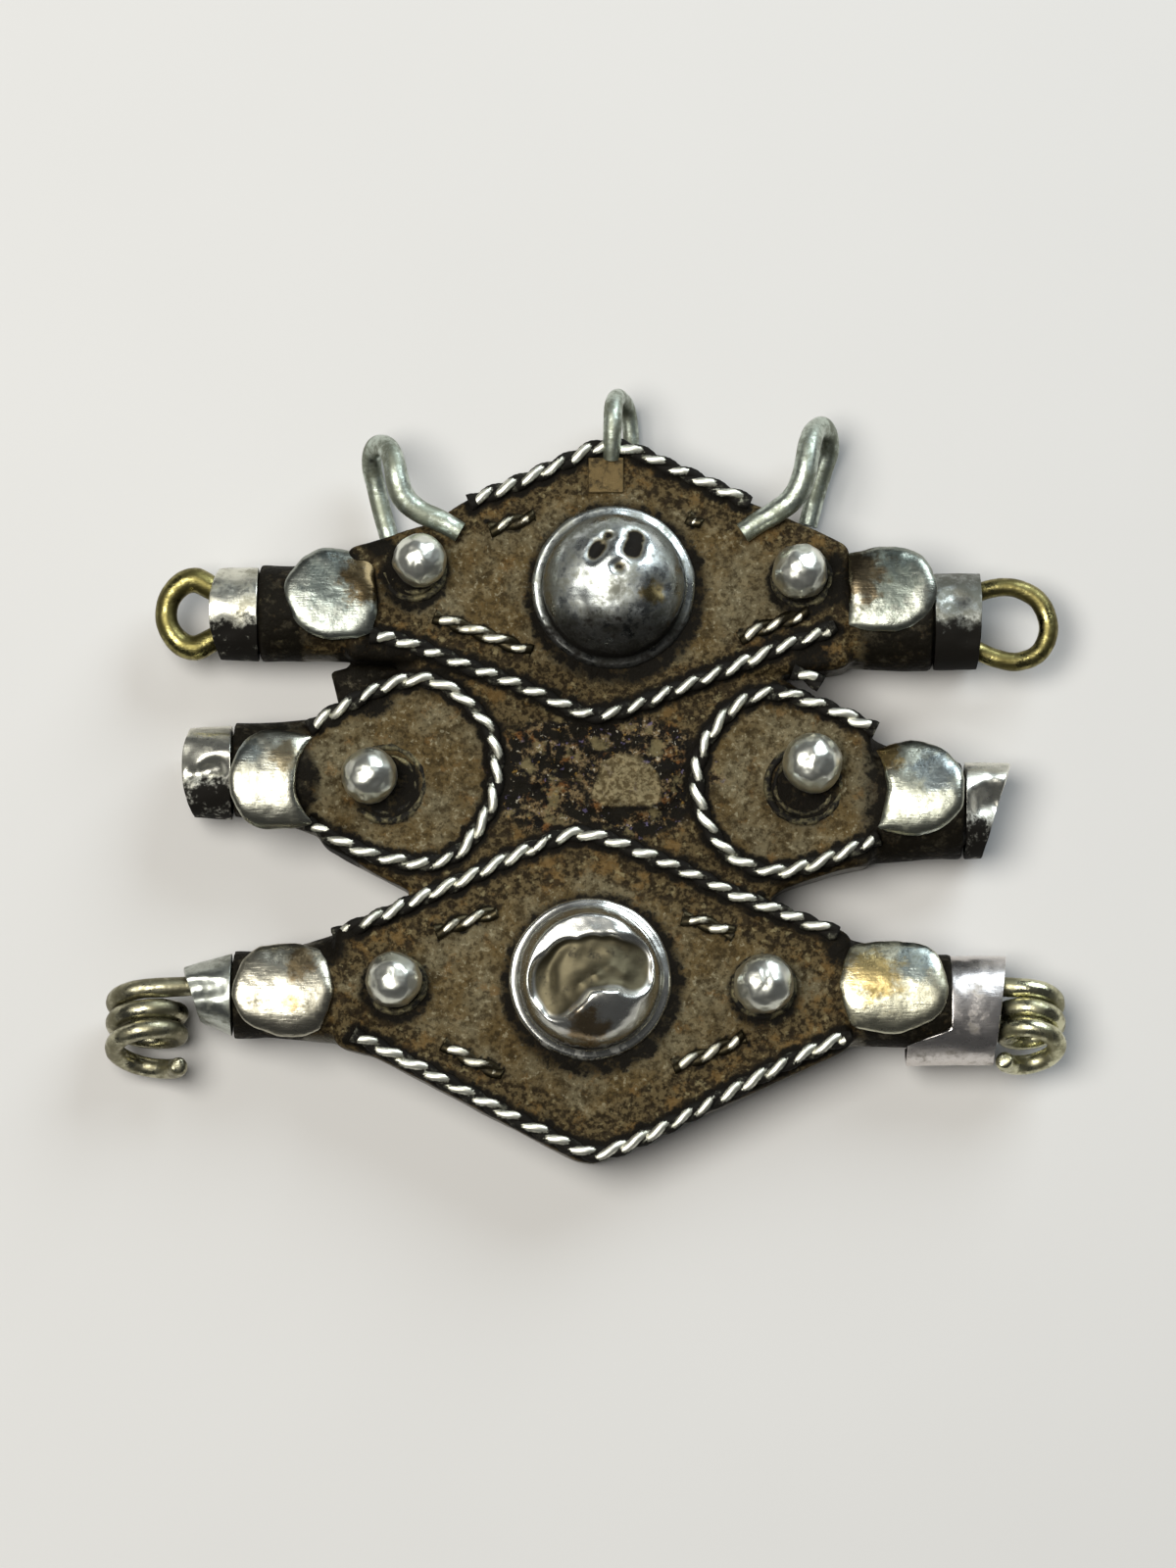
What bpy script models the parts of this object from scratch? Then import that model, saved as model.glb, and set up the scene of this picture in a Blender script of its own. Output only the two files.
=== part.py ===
"""Silver necklace centrepiece: a hollow soldered body of three rows, with rolled collars and wire eyes at its arms.

Metres, +Z up. The pendant lies on its flat back, its front faces +Z and its top edge faces +Y.
X = 0, Y = 0 lies midway between the arms, and Z = 0 is the flat back.
"""

import math
from collections import namedtuple

import bmesh
import bpy
from mathutils import Matrix, Vector

# Sheet and fits
SHEET = 0.00036
SLEEVE_CLEARANCE = 0.0003
BUTT_GAP = 0.00015

# Box of the body, from its flat back to the front plate
BODY_DEPTH = 0.0052
TUBE_HEIGHT = 0.0032

# Upper row: from the middle to each mouth, its axis there, and the lozenge above and below that axis
UPPER_REACH_LEFT = 0.0240
UPPER_REACH_RIGHT = 0.0254
UPPER_AXIS_LEFT = 0.01066
UPPER_AXIS_RIGHT = 0.01016
UPPER_RISE = 0.01125
UPPER_FALL = 0.0072

# Middle row
MIDDLE_REACH_LEFT = 0.0258
MIDDLE_REACH_RIGHT = 0.0266
MIDDLE_AXIS_LEFT = 0.0006
MIDDLE_AXIS_RIGHT = -0.0020
MIDDLE_RISE = 0.0080
MIDDLE_FALL = 0.0080

# Lower row
LOWER_REACH_LEFT = 0.0252
LOWER_REACH_RIGHT = 0.0266
LOWER_AXIS_LEFT = -0.0138
LOWER_AXIS_RIGHT = -0.0142
LOWER_RISE = 0.0108
LOWER_FALL = 0.0106

# Collars rolled from strip
COLLAR_RADIUS = 0.0031
COLLAR_LENGTH = 0.0031
SPIGOT_SHARE = 0.42

# Twisted wire
ROPE_RADIUS = 0.00045
ROPE_HEIGHT = 0.0007
ROPE_PITCH = 0.0035
ROPE_SLANT = 0.0005
ROPE_CORNER = 0.0012
DROP_RADIUS = 0.0056
INNER_WIRE_RADIUS = 0.00034

# Bosses, balls and cover discs
BOSS_RADIUS = 0.0055
BOSS_HEIGHT = 0.0043
VENT_RADIUS = 0.0008
BALL_RADIUS = 0.0018
SEAT_RADIUS = 0.0024
SEAT_HEIGHT = 0.0003
DISC_RADIUS = 0.0031
DISC_THICKNESS = 0.0005
DISC_BEND_RADIUS = 0.0048

# Bails, the patch under the middle one and the corner of the back sheet
BAIL_WIRE_RADIUS = 0.00082
PATCH_SIDE = 0.0022
PATCH_THICKNESS = 0.0003
FLANGE_LENGTH = 0.0042
FLANGE_WIDTH = 0.0024

# Wire eyes
EYE_WIRE_RADIUS = 0.00066
COIL_WIRE_RADIUS = 0.00062
COIL_RADIUS = 0.0020
COIL_TURN_GAP = 0.00012
TAIL_SHARE = 0.45

Section = namedtuple("Section", "along rise fall front roundness")
Row = namedtuple("Row", "left right axis_left axis_right rise fall front floor sections")
Collar = namedtuple("Collar", "row side height depth length neck sag pinch flatten fold slant bulge tongue")
RopePoint = namedtuple("RopePoint", "across crest valley")
Drop = namedtuple("Drop", "along across first_along first_across last_along last_across")
BossRing = namedtuple("BossRing", "reach rise")
Boss = namedtuple("Boss", "row along across hollow dents")
Dent = namedtuple("Dent", "across up width depth")
Ball = namedtuple("Ball", "row along across size seat_across seat_up")
Disc = namedtuple("Disc", "collar back across width height lift lean")
BailPoint = namedtuple("BailPoint", "along across height wire")
EyePoint = namedtuple("EyePoint", "out up wire")
Coil = namedtuple("Coil", "collar radius start lift lean splay gap")


def clear_scene():
    for old in list(bpy.data.objects):
        bpy.data.objects.remove(old)


# The three rows, each a box that narrows to a round arm on both sides

UPPER = Row(
    UPPER_REACH_LEFT, UPPER_REACH_RIGHT, UPPER_AXIS_LEFT, UPPER_AXIS_RIGHT, UPPER_RISE, UPPER_FALL, 1.0, 1.0,
    [
        Section(-0.775, 0.30, 0.425, 1.20, 1.0),
        Section(-0.671, 0.35, 0.420, 1.14, 0.9),
        Section(-0.568, 0.40, 0.420, 1.07, 0.7),
        Section(-0.413, 0.52, 0.460, 1.00, 0.4),
        Section(-0.307, 0.66, 0.590, 1.00, 0.2),
        Section(0.000, 0.95, 1.000, 1.00, 0.2),
        Section(0.055, 1.00, 0.945, 1.00, 0.2),
        Section(0.404, 0.675, 0.510, 1.00, 0.2),
        Section(0.595, 0.49, 0.480, 1.03, 0.4),
        Section(0.694, 0.39, 0.430, 1.10, 0.7),
        Section(0.800, 0.34, 0.430, 1.18, 1.0),
    ],
)
MIDDLE = Row(
    MIDDLE_REACH_LEFT, MIDDLE_REACH_RIGHT, MIDDLE_AXIS_LEFT, MIDDLE_AXIS_RIGHT, MIDDLE_RISE, MIDDLE_FALL, 0.95, 1.4,
    [
        Section(-0.758, 0.36, 0.44, 1.22, 1.0),
        Section(-0.686, 0.41, 0.48, 1.16, 0.9),
        Section(-0.615, 0.56, 0.60, 1.08, 0.6),
        Section(-0.521, 0.78, 0.76, 1.00, 0.3),
        Section(-0.380, 1.00, 0.96, 1.00, 0.2),
        Section(0.370, 1.00, 0.96, 1.00, 0.2),
        Section(0.480, 0.95, 0.72, 1.00, 0.2),
        Section(0.600, 0.71, 0.57, 1.04, 0.5),
        Section(0.738, 0.52, 0.45, 1.16, 0.9),
        Section(0.820, 0.46, 0.44, 1.24, 1.0),
    ],
)
LOWER = Row(
    LOWER_REACH_LEFT, LOWER_REACH_RIGHT, LOWER_AXIS_LEFT, LOWER_AXIS_RIGHT, LOWER_RISE, LOWER_FALL, 1.0, 1.1,
    [
        Section(-0.830, 0.28, 0.270, 1.16, 1.0),
        Section(-0.750, 0.335, 0.295, 1.16, 0.9),
        Section(-0.631, 0.385, 0.305, 1.12, 0.8),
        Section(-0.534, 0.48, 0.355, 1.05, 0.6),
        Section(-0.388, 0.65, 0.54, 1.00, 0.3),
        Section(-0.023, 1.00, 0.985, 1.00, 0.2),
        Section(0.023, 0.98, 1.00, 1.00, 0.2),
        Section(0.377, 0.63, 0.60, 1.00, 0.2),
        Section(0.543, 0.47, 0.405, 1.00, 0.4),
        Section(0.640, 0.37, 0.290, 1.08, 0.8),
        Section(0.760, 0.33, 0.280, 1.16, 1.0),
    ],
)
COLLARS = {
    "collar_upper_left": Collar(UPPER, -1, 1.00, 1.00, 1.00, 1.00, 0.00, 0.02, 0.00, 0.00, 0.00, 0.22, 0.0),
    "collar_upper_right": Collar(UPPER, 1, 1.03, 1.00, 0.97, 1.02, 0.00, 0.00, 0.00, 0.00, 0.04, 0.04, 0.0),
    "collar_middle_left": Collar(MIDDLE, -1, 1.00, 1.00, 1.05, 0.98, 0.05, 0.05, 0.10, 0.42, 0.04, 0.22, 0.0),
    "collar_middle_right": Collar(MIDDLE, 1, 1.03, 1.00, 0.74, 1.02, 0.00, 0.02, 0.14, 0.30, 0.30, 0.0, 0.0),
    "collar_lower_left": Collar(LOWER, -1, 0.88, 0.92, 0.87, 0.90, 0.00, 0.34, 0.00, 0.22, 0.18, 0.0, 0.0),
    "collar_lower_right": Collar(LOWER, 1, 1.16, 1.00, 1.06, 0.97, 0.20, 0.00, 0.04, 0.10, 0.14, 0.0, 0.85),
}
OUTSIDE_CORNER_STEPS = 3
INSIDE_CORNER_STEPS = 2
COLLAR_SIDES = 16
FOLD_WIDTH = math.radians(34)
TRIMMED_ROUNDNESS = 0.95


def axis_at(row, x):
    """Height in Y of the row's axis at x, on the straight line between its two mouths."""
    share = (x + row.left) / (row.left + row.right)
    return row.axis_left + share * (row.axis_right - row.axis_left)


def on_row(row, along, across, height=0.0):
    """A point given as shares of the row's reach and of its rise or fall, at a height in Z."""
    x = along * (row.right if along > 0 else row.left)
    y = axis_at(row, x) + across * (row.rise if across > 0 else row.fall)
    return Vector((x, y, height))


def front_of(row):
    return BODY_DEPTH * row.front


def mouth_of(collar):
    x = collar.side * (collar.row.right if collar.side > 0 else collar.row.left)
    return Vector((x, axis_at(collar.row, x), TUBE_HEIGHT))


def root_of(collar):
    """X of the arm's root, where its collar starts."""
    return mouth_of(collar).x - collar.side * (collar.length * COLLAR_LENGTH + BUTT_GAP)


def place(name, bm):
    bmesh.ops.recalc_face_normals(bm, faces=bm.faces)
    mesh = bpy.data.meshes.new(name)
    bm.to_mesh(mesh)
    bm.free()
    obj = bpy.data.objects.new(name, mesh)
    bpy.context.scene.collection.objects.link(obj)
    return obj


def skin(name, rings, closed=False):
    """A solid through rings of equally many points: capped at both ends, or closed from the last to the first."""
    bm = bmesh.new()
    made = [[bm.verts.new(point) for point in ring] for ring in rings]
    pairs = list(zip(made, made[1:]))
    if closed:
        pairs.append((made[-1], made[0]))
    else:
        bm.faces.new(reversed(made[0]))
        bm.faces.new(made[-1])
    for first, second in pairs:
        for a in range(len(first)):
            b = (a + 1) % len(first)
            bm.faces.new((first[a], first[b], second[b], second[a]))
    return place(name, bm)


def circle(centre, radius, sides):
    angles = [2 * math.pi * side / sides for side in range(sides)]
    return [centre + radius * Vector((math.cos(angle), math.sin(angle), 0)) for angle in angles]


def rounded_rectangle(x, y_low, y_high, z_low, z_high, roundness, corner_steps):
    """A section across X, of lines and corner arcs; roundness 1 makes its ends half circles."""
    half_y = (y_high - y_low) / 2
    half_z = (z_high - z_low) / 2
    radius = roundness * min(half_y, half_z)
    points = []
    for corner in range(4):
        side_y = 1 if corner in (0, 3) else -1
        side_z = 1 if corner in (0, 1) else -1
        centre_y = (y_low + y_high) / 2 + side_y * (half_y - radius)
        centre_z = (z_low + z_high) / 2 + side_z * (half_z - radius)
        for step in range(corner_steps + 1):
            angle = math.pi / 2 * (corner + step / corner_steps)
            points.append((x, centre_y + radius * math.cos(angle), centre_z + radius * math.sin(angle)))
    return points


def spigot_radius(spec):
    """The arm's end inside its collar: as far as the bore reaches there, less the clearance."""
    wide = spec.height * COLLAR_RADIUS * (1 - spec.pinch * SPIGOT_SHARE) - spec.sag * COLLAR_RADIUS
    deep = spec.depth * COLLAR_RADIUS * (1 - spec.flatten * SPIGOT_SHARE) * (1 - spec.fold * SPIGOT_SHARE**2)
    return min(wide, deep) - SHEET - SLEEVE_CLEARANCE


def arm_rings(collar, inset, corner_steps):
    """Rings of the arm from its end inside the collar to its neck. With an inset they pass out of the mouth."""
    length = collar.length * COLLAR_LENGTH
    root_x = root_of(collar) - collar.side * inset
    end_x = root_x + collar.side * length * (2 if inset else SPIGOT_SHARE)
    spigot = spigot_radius(collar)
    neck = collar.neck * COLLAR_RADIUS
    rings = []
    for x, radius in ((end_x, spigot), (root_x, spigot), (root_x - collar.side * 0.3 * SHEET, neck)):
        y = axis_at(collar.row, x)
        reach = radius - inset
        low = TUBE_HEIGHT - reach
        high = TUBE_HEIGHT + reach
        rings.append(rounded_rectangle(x, y - reach, y + reach, low, high, 1.0, corner_steps))
    return rings


def row_solid(name, row, inset=0.0):
    """One row as a loft along X. With an inset it is the hollow inside it.

    The boxes reach a little below the floor, each row by its own amount, and are trimmed flat together.
    """
    corner_steps = INSIDE_CORNER_STEPS if inset else OUTSIDE_CORNER_STEPS
    left, right = [collar for collar in COLLARS.values() if collar.row is row]
    rings = arm_rings(left, inset, corner_steps)
    for section in row.sections:
        high = on_row(row, section.along, section.rise)
        low = on_row(row, section.along, -section.fall)
        back = row.floor * (inset if inset else SHEET * (section.roundness - TRIMMED_ROUNDNESS))
        front = front_of(row) * section.front - inset
        rings.append(
            rounded_rectangle(high.x, low.y + inset, high.y - inset, back, front, section.roundness, corner_steps)
        )
    rings += reversed(arm_rings(right, inset, corner_steps))
    return skin(name, rings)


# Collars


def collar_point(spec, share, angle, inset):
    """A point of a collar's wall, at a share of its length from its inner end to its mouth."""
    mouth = mouth_of(spec)
    wide = spec.height * COLLAR_RADIUS * (1 - spec.pinch * share) - inset
    deep = spec.depth * COLLAR_RADIUS * (1 - spec.flatten * share) - inset
    up = math.cos(angle)
    front = math.sin(angle)
    fold = spec.fold * share**2 * math.exp(-(((angle - math.pi / 2) / FOLD_WIDTH) ** 2))
    length = spec.length * COLLAR_LENGTH
    tongue = spec.tongue * min(1.0, max(0.0, -up - 0.6) / 0.15)
    cut = spec.slant * (up - 0.3) - spec.bulge * up**2
    out = -length * (1 - share) * (1 + tongue) + COLLAR_RADIUS * share * cut
    return mouth + Vector((spec.side * out, wide * up - spec.sag * COLLAR_RADIUS, deep * front * (1 - fold)))


def collar(name, spec):
    """A band of sheet rolled round the arm, with a small gap to it, as worn and crushed as it is."""
    rings = []
    for share, inset in ((0, 0), (0.5, 0), (1, 0), (1, SHEET), (0.5, SHEET), (0, SHEET)):
        angles = [2 * math.pi * side / COLLAR_SIDES for side in range(COLLAR_SIDES)]
        rings.append([collar_point(spec, share, angle, inset) for angle in angles])
    return skin(name, rings, closed=True)


# Paths and wires


def smooth_path(points, steps):
    """A Catmull-Rom curve through the points, with steps pieces between each two."""
    padded = [2 * points[0] - points[1]] + list(points) + [2 * points[-1] - points[-2]]
    path = []
    for a, b, c, d in zip(padded, padded[1:], padded[2:], padded[3:]):
        for step in range(steps):
            t = step / steps
            cubic = (3 * b - a - 3 * c + d) * t**3
            path.append(0.5 * (2 * b + (c - a) * t + (2 * a - 5 * b + 4 * c - d) * t**2 + cubic))
    path.append(points[-1].copy())
    return path


def rounded_corners(corners, radius):
    """The polyline with each inner corner cut by a quadratic arc that starts radius before it."""
    path = [corners[0]]
    for before, corner, after in zip(corners, corners[1:], corners[2:]):
        start = corner + (before - corner).normalized() * radius
        end = corner + (after - corner).normalized() * radius
        for t in (0.0, 0.25, 0.5, 0.75, 1.0):
            path.append((1 - t) ** 2 * start + 2 * t * (1 - t) * corner + t**2 * end)
    path.append(corners[-1])
    return path


def length_of(path):
    return sum((b - a).length for a, b in zip(path, path[1:]))


def walk(path, distance):
    """The point at a distance along a polyline, and the direction there."""
    left = max(0.0, distance)
    for a, b in zip(path, path[1:]):
        piece = (b - a).length
        if left <= piece:
            return a.lerp(b, left / piece), (b - a).normalized()
        left -= piece
    return b.copy(), (b - a).normalized()


def wire(name, path, radii, sides):
    """A wire of round section along a path that may bend in space."""
    first = path[1] - path[0]
    across = first.cross(Vector((0, 1, 0) if abs(first.normalized().z) > 0.9 else (0, 0, 1)))
    rings = []
    for index, point in enumerate(path):
        tangent = (path[min(index + 1, len(path) - 1)] - path[max(index - 1, 0)]).normalized()
        across = (across - tangent * across.dot(tangent)).normalized()
        up = tangent.cross(across)
        angles = [2 * math.pi * (side + 0.5) / sides for side in range(sides)]
        rings.append([point + radii[index] * (math.cos(a) * across + math.sin(a) * up) for a in angles])
    return skin(name, rings)


# Twisted-wire borders

ROPE_SECTION = (
    RopePoint(-1.00, -0.4, -0.4),
    RopePoint(-0.85, 0.30, 0.12),
    RopePoint(0.00, 1.00, 0.62),
    RopePoint(0.85, 0.30, 0.12),
    RopePoint(1.00, -0.4, -0.4),
)


def rope(name, path, base):
    """A twisted wire soldered along path on a plate at base: each strand shows as one slanting bump."""
    total = length_of(path)
    bumps = max(2, round(2 * total / ROPE_PITCH))
    rings = []
    for number in range(3 * bumps + 1):
        centre = total * number / (3 * bumps)
        slant = ROPE_SLANT * min(1.0, centre / ROPE_PITCH, (total - centre) / ROPE_PITCH)
        ring = []
        for spot in ROPE_SECTION:
            point, direction = walk(path, centre + slant * spot.across)
            share = spot.valley if number % 3 == 0 else spot.crest
            side = Vector((-direction.y, direction.x, 0)) * spot.across * ROPE_RADIUS
            ring.append(Vector((point.x, point.y, base + ROPE_HEIGHT * share)) + side)
        rings.append(ring)
    return skin(name, rings)


LOZENGE_ROPES = {
    "upper_top_rope": (UPPER, [(-0.31, 0.62), (0.055, 0.962), (0.42, 0.62)]),
    "upper_bottom_rope": (UPPER, [(-0.59, -0.22), (-0.50, -0.295), (0.0, -0.93), (0.56, -0.27), (0.62, -0.17)]),
    "lower_top_rope": (LOWER, [(-0.62, 0.37), (-0.026, 0.955), (0.595, 0.37)]),
    "lower_bottom_rope": (LOWER, [(-0.575, -0.27), (0.008, -0.955), (0.62, -0.27)]),
}
DROPS = {
    "left_drop_rope": Drop(-0.436, 0.035, -0.66, 0.345, -0.66, -0.44),
    "right_drop_rope": Drop(0.461, 0.075, 0.672, -0.30, 0.672, 0.53),
}
ARC_STEPS = 40


def lozenge_rope(name, row, shares):
    corners = [on_row(row, along, across) for along, across in shares]
    return rope(name, rounded_corners(corners, ROPE_CORNER), front_of(row))


def drop_rope(name, drop):
    """A border round a drop: from its first tip along a tangent to the circle, round it and back to its last tip."""
    centre = on_row(MIDDLE, drop.along, drop.across)
    tips = [
        on_row(MIDDLE, drop.first_along, drop.first_across),
        on_row(MIDDLE, drop.last_along, drop.last_across),
    ]
    turns = []
    for tip, way in zip(tips, (-1, 1)):
        outward = tip - centre
        reach = max(outward.length, 1.02 * DROP_RADIUS)
        turns.append(math.atan2(outward.y, outward.x) + way * math.acos(DROP_RADIUS / reach))
    start, end = turns
    while end > start:
        end -= 2 * math.pi
    while end < start - 2 * math.pi:
        end += 2 * math.pi
    path = [tips[0]]
    for step in range(ARC_STEPS + 1):
        angle = start + (end - start) * step / ARC_STEPS
        path.append(centre + DROP_RADIUS * Vector((math.cos(angle), math.sin(angle), 0)))
    path.append(tips[1])
    return rope(name, path, front_of(MIDDLE))


INNER_LOZENGES = {
    "upper_inner_wire": (UPPER, [(-0.58, 0.20), (0.06, 0.73), (0.70, 0.17), (0.055, -0.66)]),
    "lower_inner_wire": (LOWER, [(-0.52, 0.06), (0.0, 0.70), (0.56, 0.07), (0.0, -0.66)]),
}


def inner_wire(name, row, shares):
    """A plain lozenge of worn wire round a boss, mitred at its corners and mostly sunk in the plate."""
    height = front_of(row) - INNER_WIRE_RADIUS * 0.3
    corners = [on_row(row, along, across, height) for along, across in shares]
    rings = []
    for before, corner, after in zip(corners[-1:] + corners[:-1], corners, corners[1:] + corners[:1]):
        come = (corner - before).normalized()
        leave = (after - corner).normalized()
        mitre = (come - leave).normalized()
        mitre = mitre / abs(mitre.cross(come).z) * INNER_WIRE_RADIUS
        if mitre.cross(come).z < 0:
            mitre = -mitre
        angles = [math.pi / 3 * (side + 0.5) for side in range(6)]
        lift = Vector((0, 0, INNER_WIRE_RADIUS))
        rings.append([corner + math.cos(a) * mitre + math.sin(a) * lift for a in angles])
    return skin(name, rings, closed=True)


# Bosses

BOSS_SIDES = 28
BOSS_OUTSIDE = (
    BossRing(1.00, -0.12), BossRing(1.00, 0.07), BossRing(0.95, 0.12), BossRing(0.905, 0.20), BossRing(0.87, 0.40),
    BossRing(0.79, 0.61), BossRing(0.68, 0.76), BossRing(0.55, 0.87), BossRing(0.40, 0.94), BossRing(0.25, 0.98),
    BossRing(0.10, 1.00),
)
BOSS_INSIDE = (BossRing(0.84, 0.0), BossRing(0.80, 0.42), BossRing(0.60, 0.80), BossRing(0.20, 0.96))
UPPER_BOSS_DENTS = (
    Dent(0.22, 0.52, 0.17, 0.16),
    Dent(-0.22, 0.42, 0.15, 0.13),
    Dent(0.02, 0.18, 0.10, 0.07),
    Dent(0.52, -0.08, 0.20, 0.06),
)
LOWER_BOSS_DENTS = (
    Dent(-0.22, 0.22, 0.42, 0.52),
    Dent(0.22, 0.34, 0.34, 0.40),
    Dent(-0.42, -0.05, 0.25, 0.25),
    Dent(0.02, -0.52, 0.30, 0.10),
    Dent(0.00, 0.00, 0.90, 0.10),
)
BOSSES = {
    "upper_boss": Boss(UPPER, 0.065, 0.13, 0.82, UPPER_BOSS_DENTS),
    "lower_boss": Boss(LOWER, 0.005, 0.10, 0.30, LOWER_BOSS_DENTS),
}


def dent_depth(across, up, dents):
    """How far the dents push down a point of a boss, given in boss radii from its centre."""
    depth = 0.0
    for dent in dents:
        away = math.hypot(across - dent.across, up - dent.up) / dent.width
        depth += BOSS_HEIGHT * dent.depth * math.exp(-(away**2))
    return depth


def boss_outside(name, centre, dents):
    rings = []
    for reach, rise in BOSS_OUTSIDE:
        ring = circle(centre + Vector((0, 0, BOSS_HEIGHT * rise)), reach * BOSS_RADIUS, BOSS_SIDES)
        if rise > 0:
            for point in ring:
                across = (point.x - centre.x) / BOSS_RADIUS
                up = (point.y - centre.y) / BOSS_RADIUS
                point.z -= dent_depth(across, up, dents)
        rings.append(ring)
    return skin(name, rings)


def boss_inside(name, centre, hollow):
    """The hollow under the dome, no higher than its dents leave it."""
    rings = []
    for reach, rise in BOSS_INSIDE:
        height = max(0.0, BOSS_HEIGHT * rise * hollow - SHEET * rise)
        rings.append(circle(centre + Vector((0, 0, height)), reach * (BOSS_RADIUS - SHEET), BOSS_SIDES // 2))
    return skin(name, rings)


def bosses():
    """Pressed hollow domes on a flat rim, with a vent through the plate below each."""
    solids = []
    hollows = []
    for name, spec in BOSSES.items():
        centre = on_row(spec.row, spec.along, spec.across, front_of(spec.row))
        solids.append(boss_outside(name, centre, spec.dents))
        hollows.append(boss_inside(name + "_hollow", centre, spec.hollow))
        low = centre - Vector((0, 0, 3 * SHEET))
        high = centre + Vector((0, 0, SHEET))
        hollows.append(wire(name + "_vent", [low, high], [VENT_RADIUS] * 2, 8))
    return solids, hollows


# Balls on their seats

BALL_SIDES = 12
SEAT_SIDES = 14
BALLS = {
    "upper_left_ball": Ball(UPPER, -0.444, 0.265, 0.95, 0.05, -0.15),
    "upper_right_ball": Ball(UPPER, 0.538, 0.22, 1.00, 0.05, -0.15),
    "middle_left_ball": Ball(MIDDLE, -0.528, -0.036, 1.00, 0.45, -0.15),
    "middle_right_ball": Ball(MIDDLE, 0.528, 0.24, 1.06, -0.10, -0.55),
    "lower_left_ball": Ball(LOWER, -0.480, 0.068, 0.97, 0.05, -0.10),
    "lower_right_ball": Ball(LOWER, 0.420, 0.053, 1.02, 0.05, -0.05),
}


def ball_and_seat(name, spec):
    """A round grain, and the low washer that it is soldered on."""
    radius = spec.size * BALL_RADIUS
    plate = on_row(spec.row, spec.along, spec.across, front_of(spec.row))
    middle = plate + Vector((0, 0, 0.75 * radius))
    rings = []
    levels = BALL_SIDES // 2
    for level in range(1, levels):
        tilt = math.pi * level / levels
        rings.append(circle(middle + Vector((0, 0, radius * math.cos(tilt))), radius * math.sin(tilt), BALL_SIDES))
    grain = skin(name, rings)
    seat_radius = SEAT_RADIUS * spec.size
    under = plate + Vector((spec.seat_across * BALL_RADIUS, spec.seat_up * BALL_RADIUS, -0.6 * SHEET))
    over = under + Vector((0, 0, SEAT_HEIGHT + 0.6 * SHEET))
    rings = [circle(under, seat_radius, SEAT_SIDES), circle(over, 0.94 * seat_radius, SEAT_SIDES)]
    return [grain, skin(name + "_seat", rings)]


# Cover discs on the necks

DISC_SIDES = 16
DISC_PROFILE = ((0.1, -2.6), (0.8, -2.0), (1.0, -0.9), (1.0, 0.0), (0.92, 0.4), (0.5, 0.5), (0.1, 0.5))
DISCS = {
    "upper_left_disc": Disc("collar_upper_left", 0.455, 0.29, 0.99, 0.95, 0.98, 2.0),
    "upper_right_disc": Disc("collar_upper_right", 0.00, 0.45, 0.93, 0.91, 1.00, -2.0),
    "middle_left_disc": Disc("collar_middle_left", -0.01, -0.21, 0.79, 1.02, 0.98, 2.0),
    "middle_right_disc": Disc("collar_middle_right", 0.00, 0.27, 0.885, 0.97, 1.03, -2.0),
    "lower_left_disc": Disc("collar_lower_left", 0.00, 0.07, 1.03, 0.98, 0.93, 1.0),
    "lower_right_disc": Disc("collar_lower_right", 0.04, 0.16, 1.12, 0.98, 0.98, -1.0),
}


def disc(name, spec):
    """A coin of sheet behind the collar, bent over the neck about X and leaning along it."""
    carrier = COLLARS[spec.collar]
    x = root_of(carrier) - carrier.side * (spec.back + spec.width) * DISC_RADIUS
    y = axis_at(carrier.row, x) + spec.across * COLLAR_RADIUS
    centre = Vector((x, y, TUBE_HEIGHT + spec.lift * COLLAR_RADIUS))
    lean = Matrix.Rotation(math.radians(spec.lean), 3, "Y")
    rings = []
    for reach, level in DISC_PROFILE:
        ring = []
        for point in circle(Vector((0, 0, level * DISC_THICKNESS)), reach * DISC_RADIUS, DISC_SIDES):
            point.x *= spec.width
            point.y *= spec.height
            point.z -= point.y**2 / (2 * DISC_BEND_RADIUS)
            ring.append(centre + lean @ point)
        rings.append(ring)
    return skin(name, rings)


# Bails at the top edge

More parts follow.
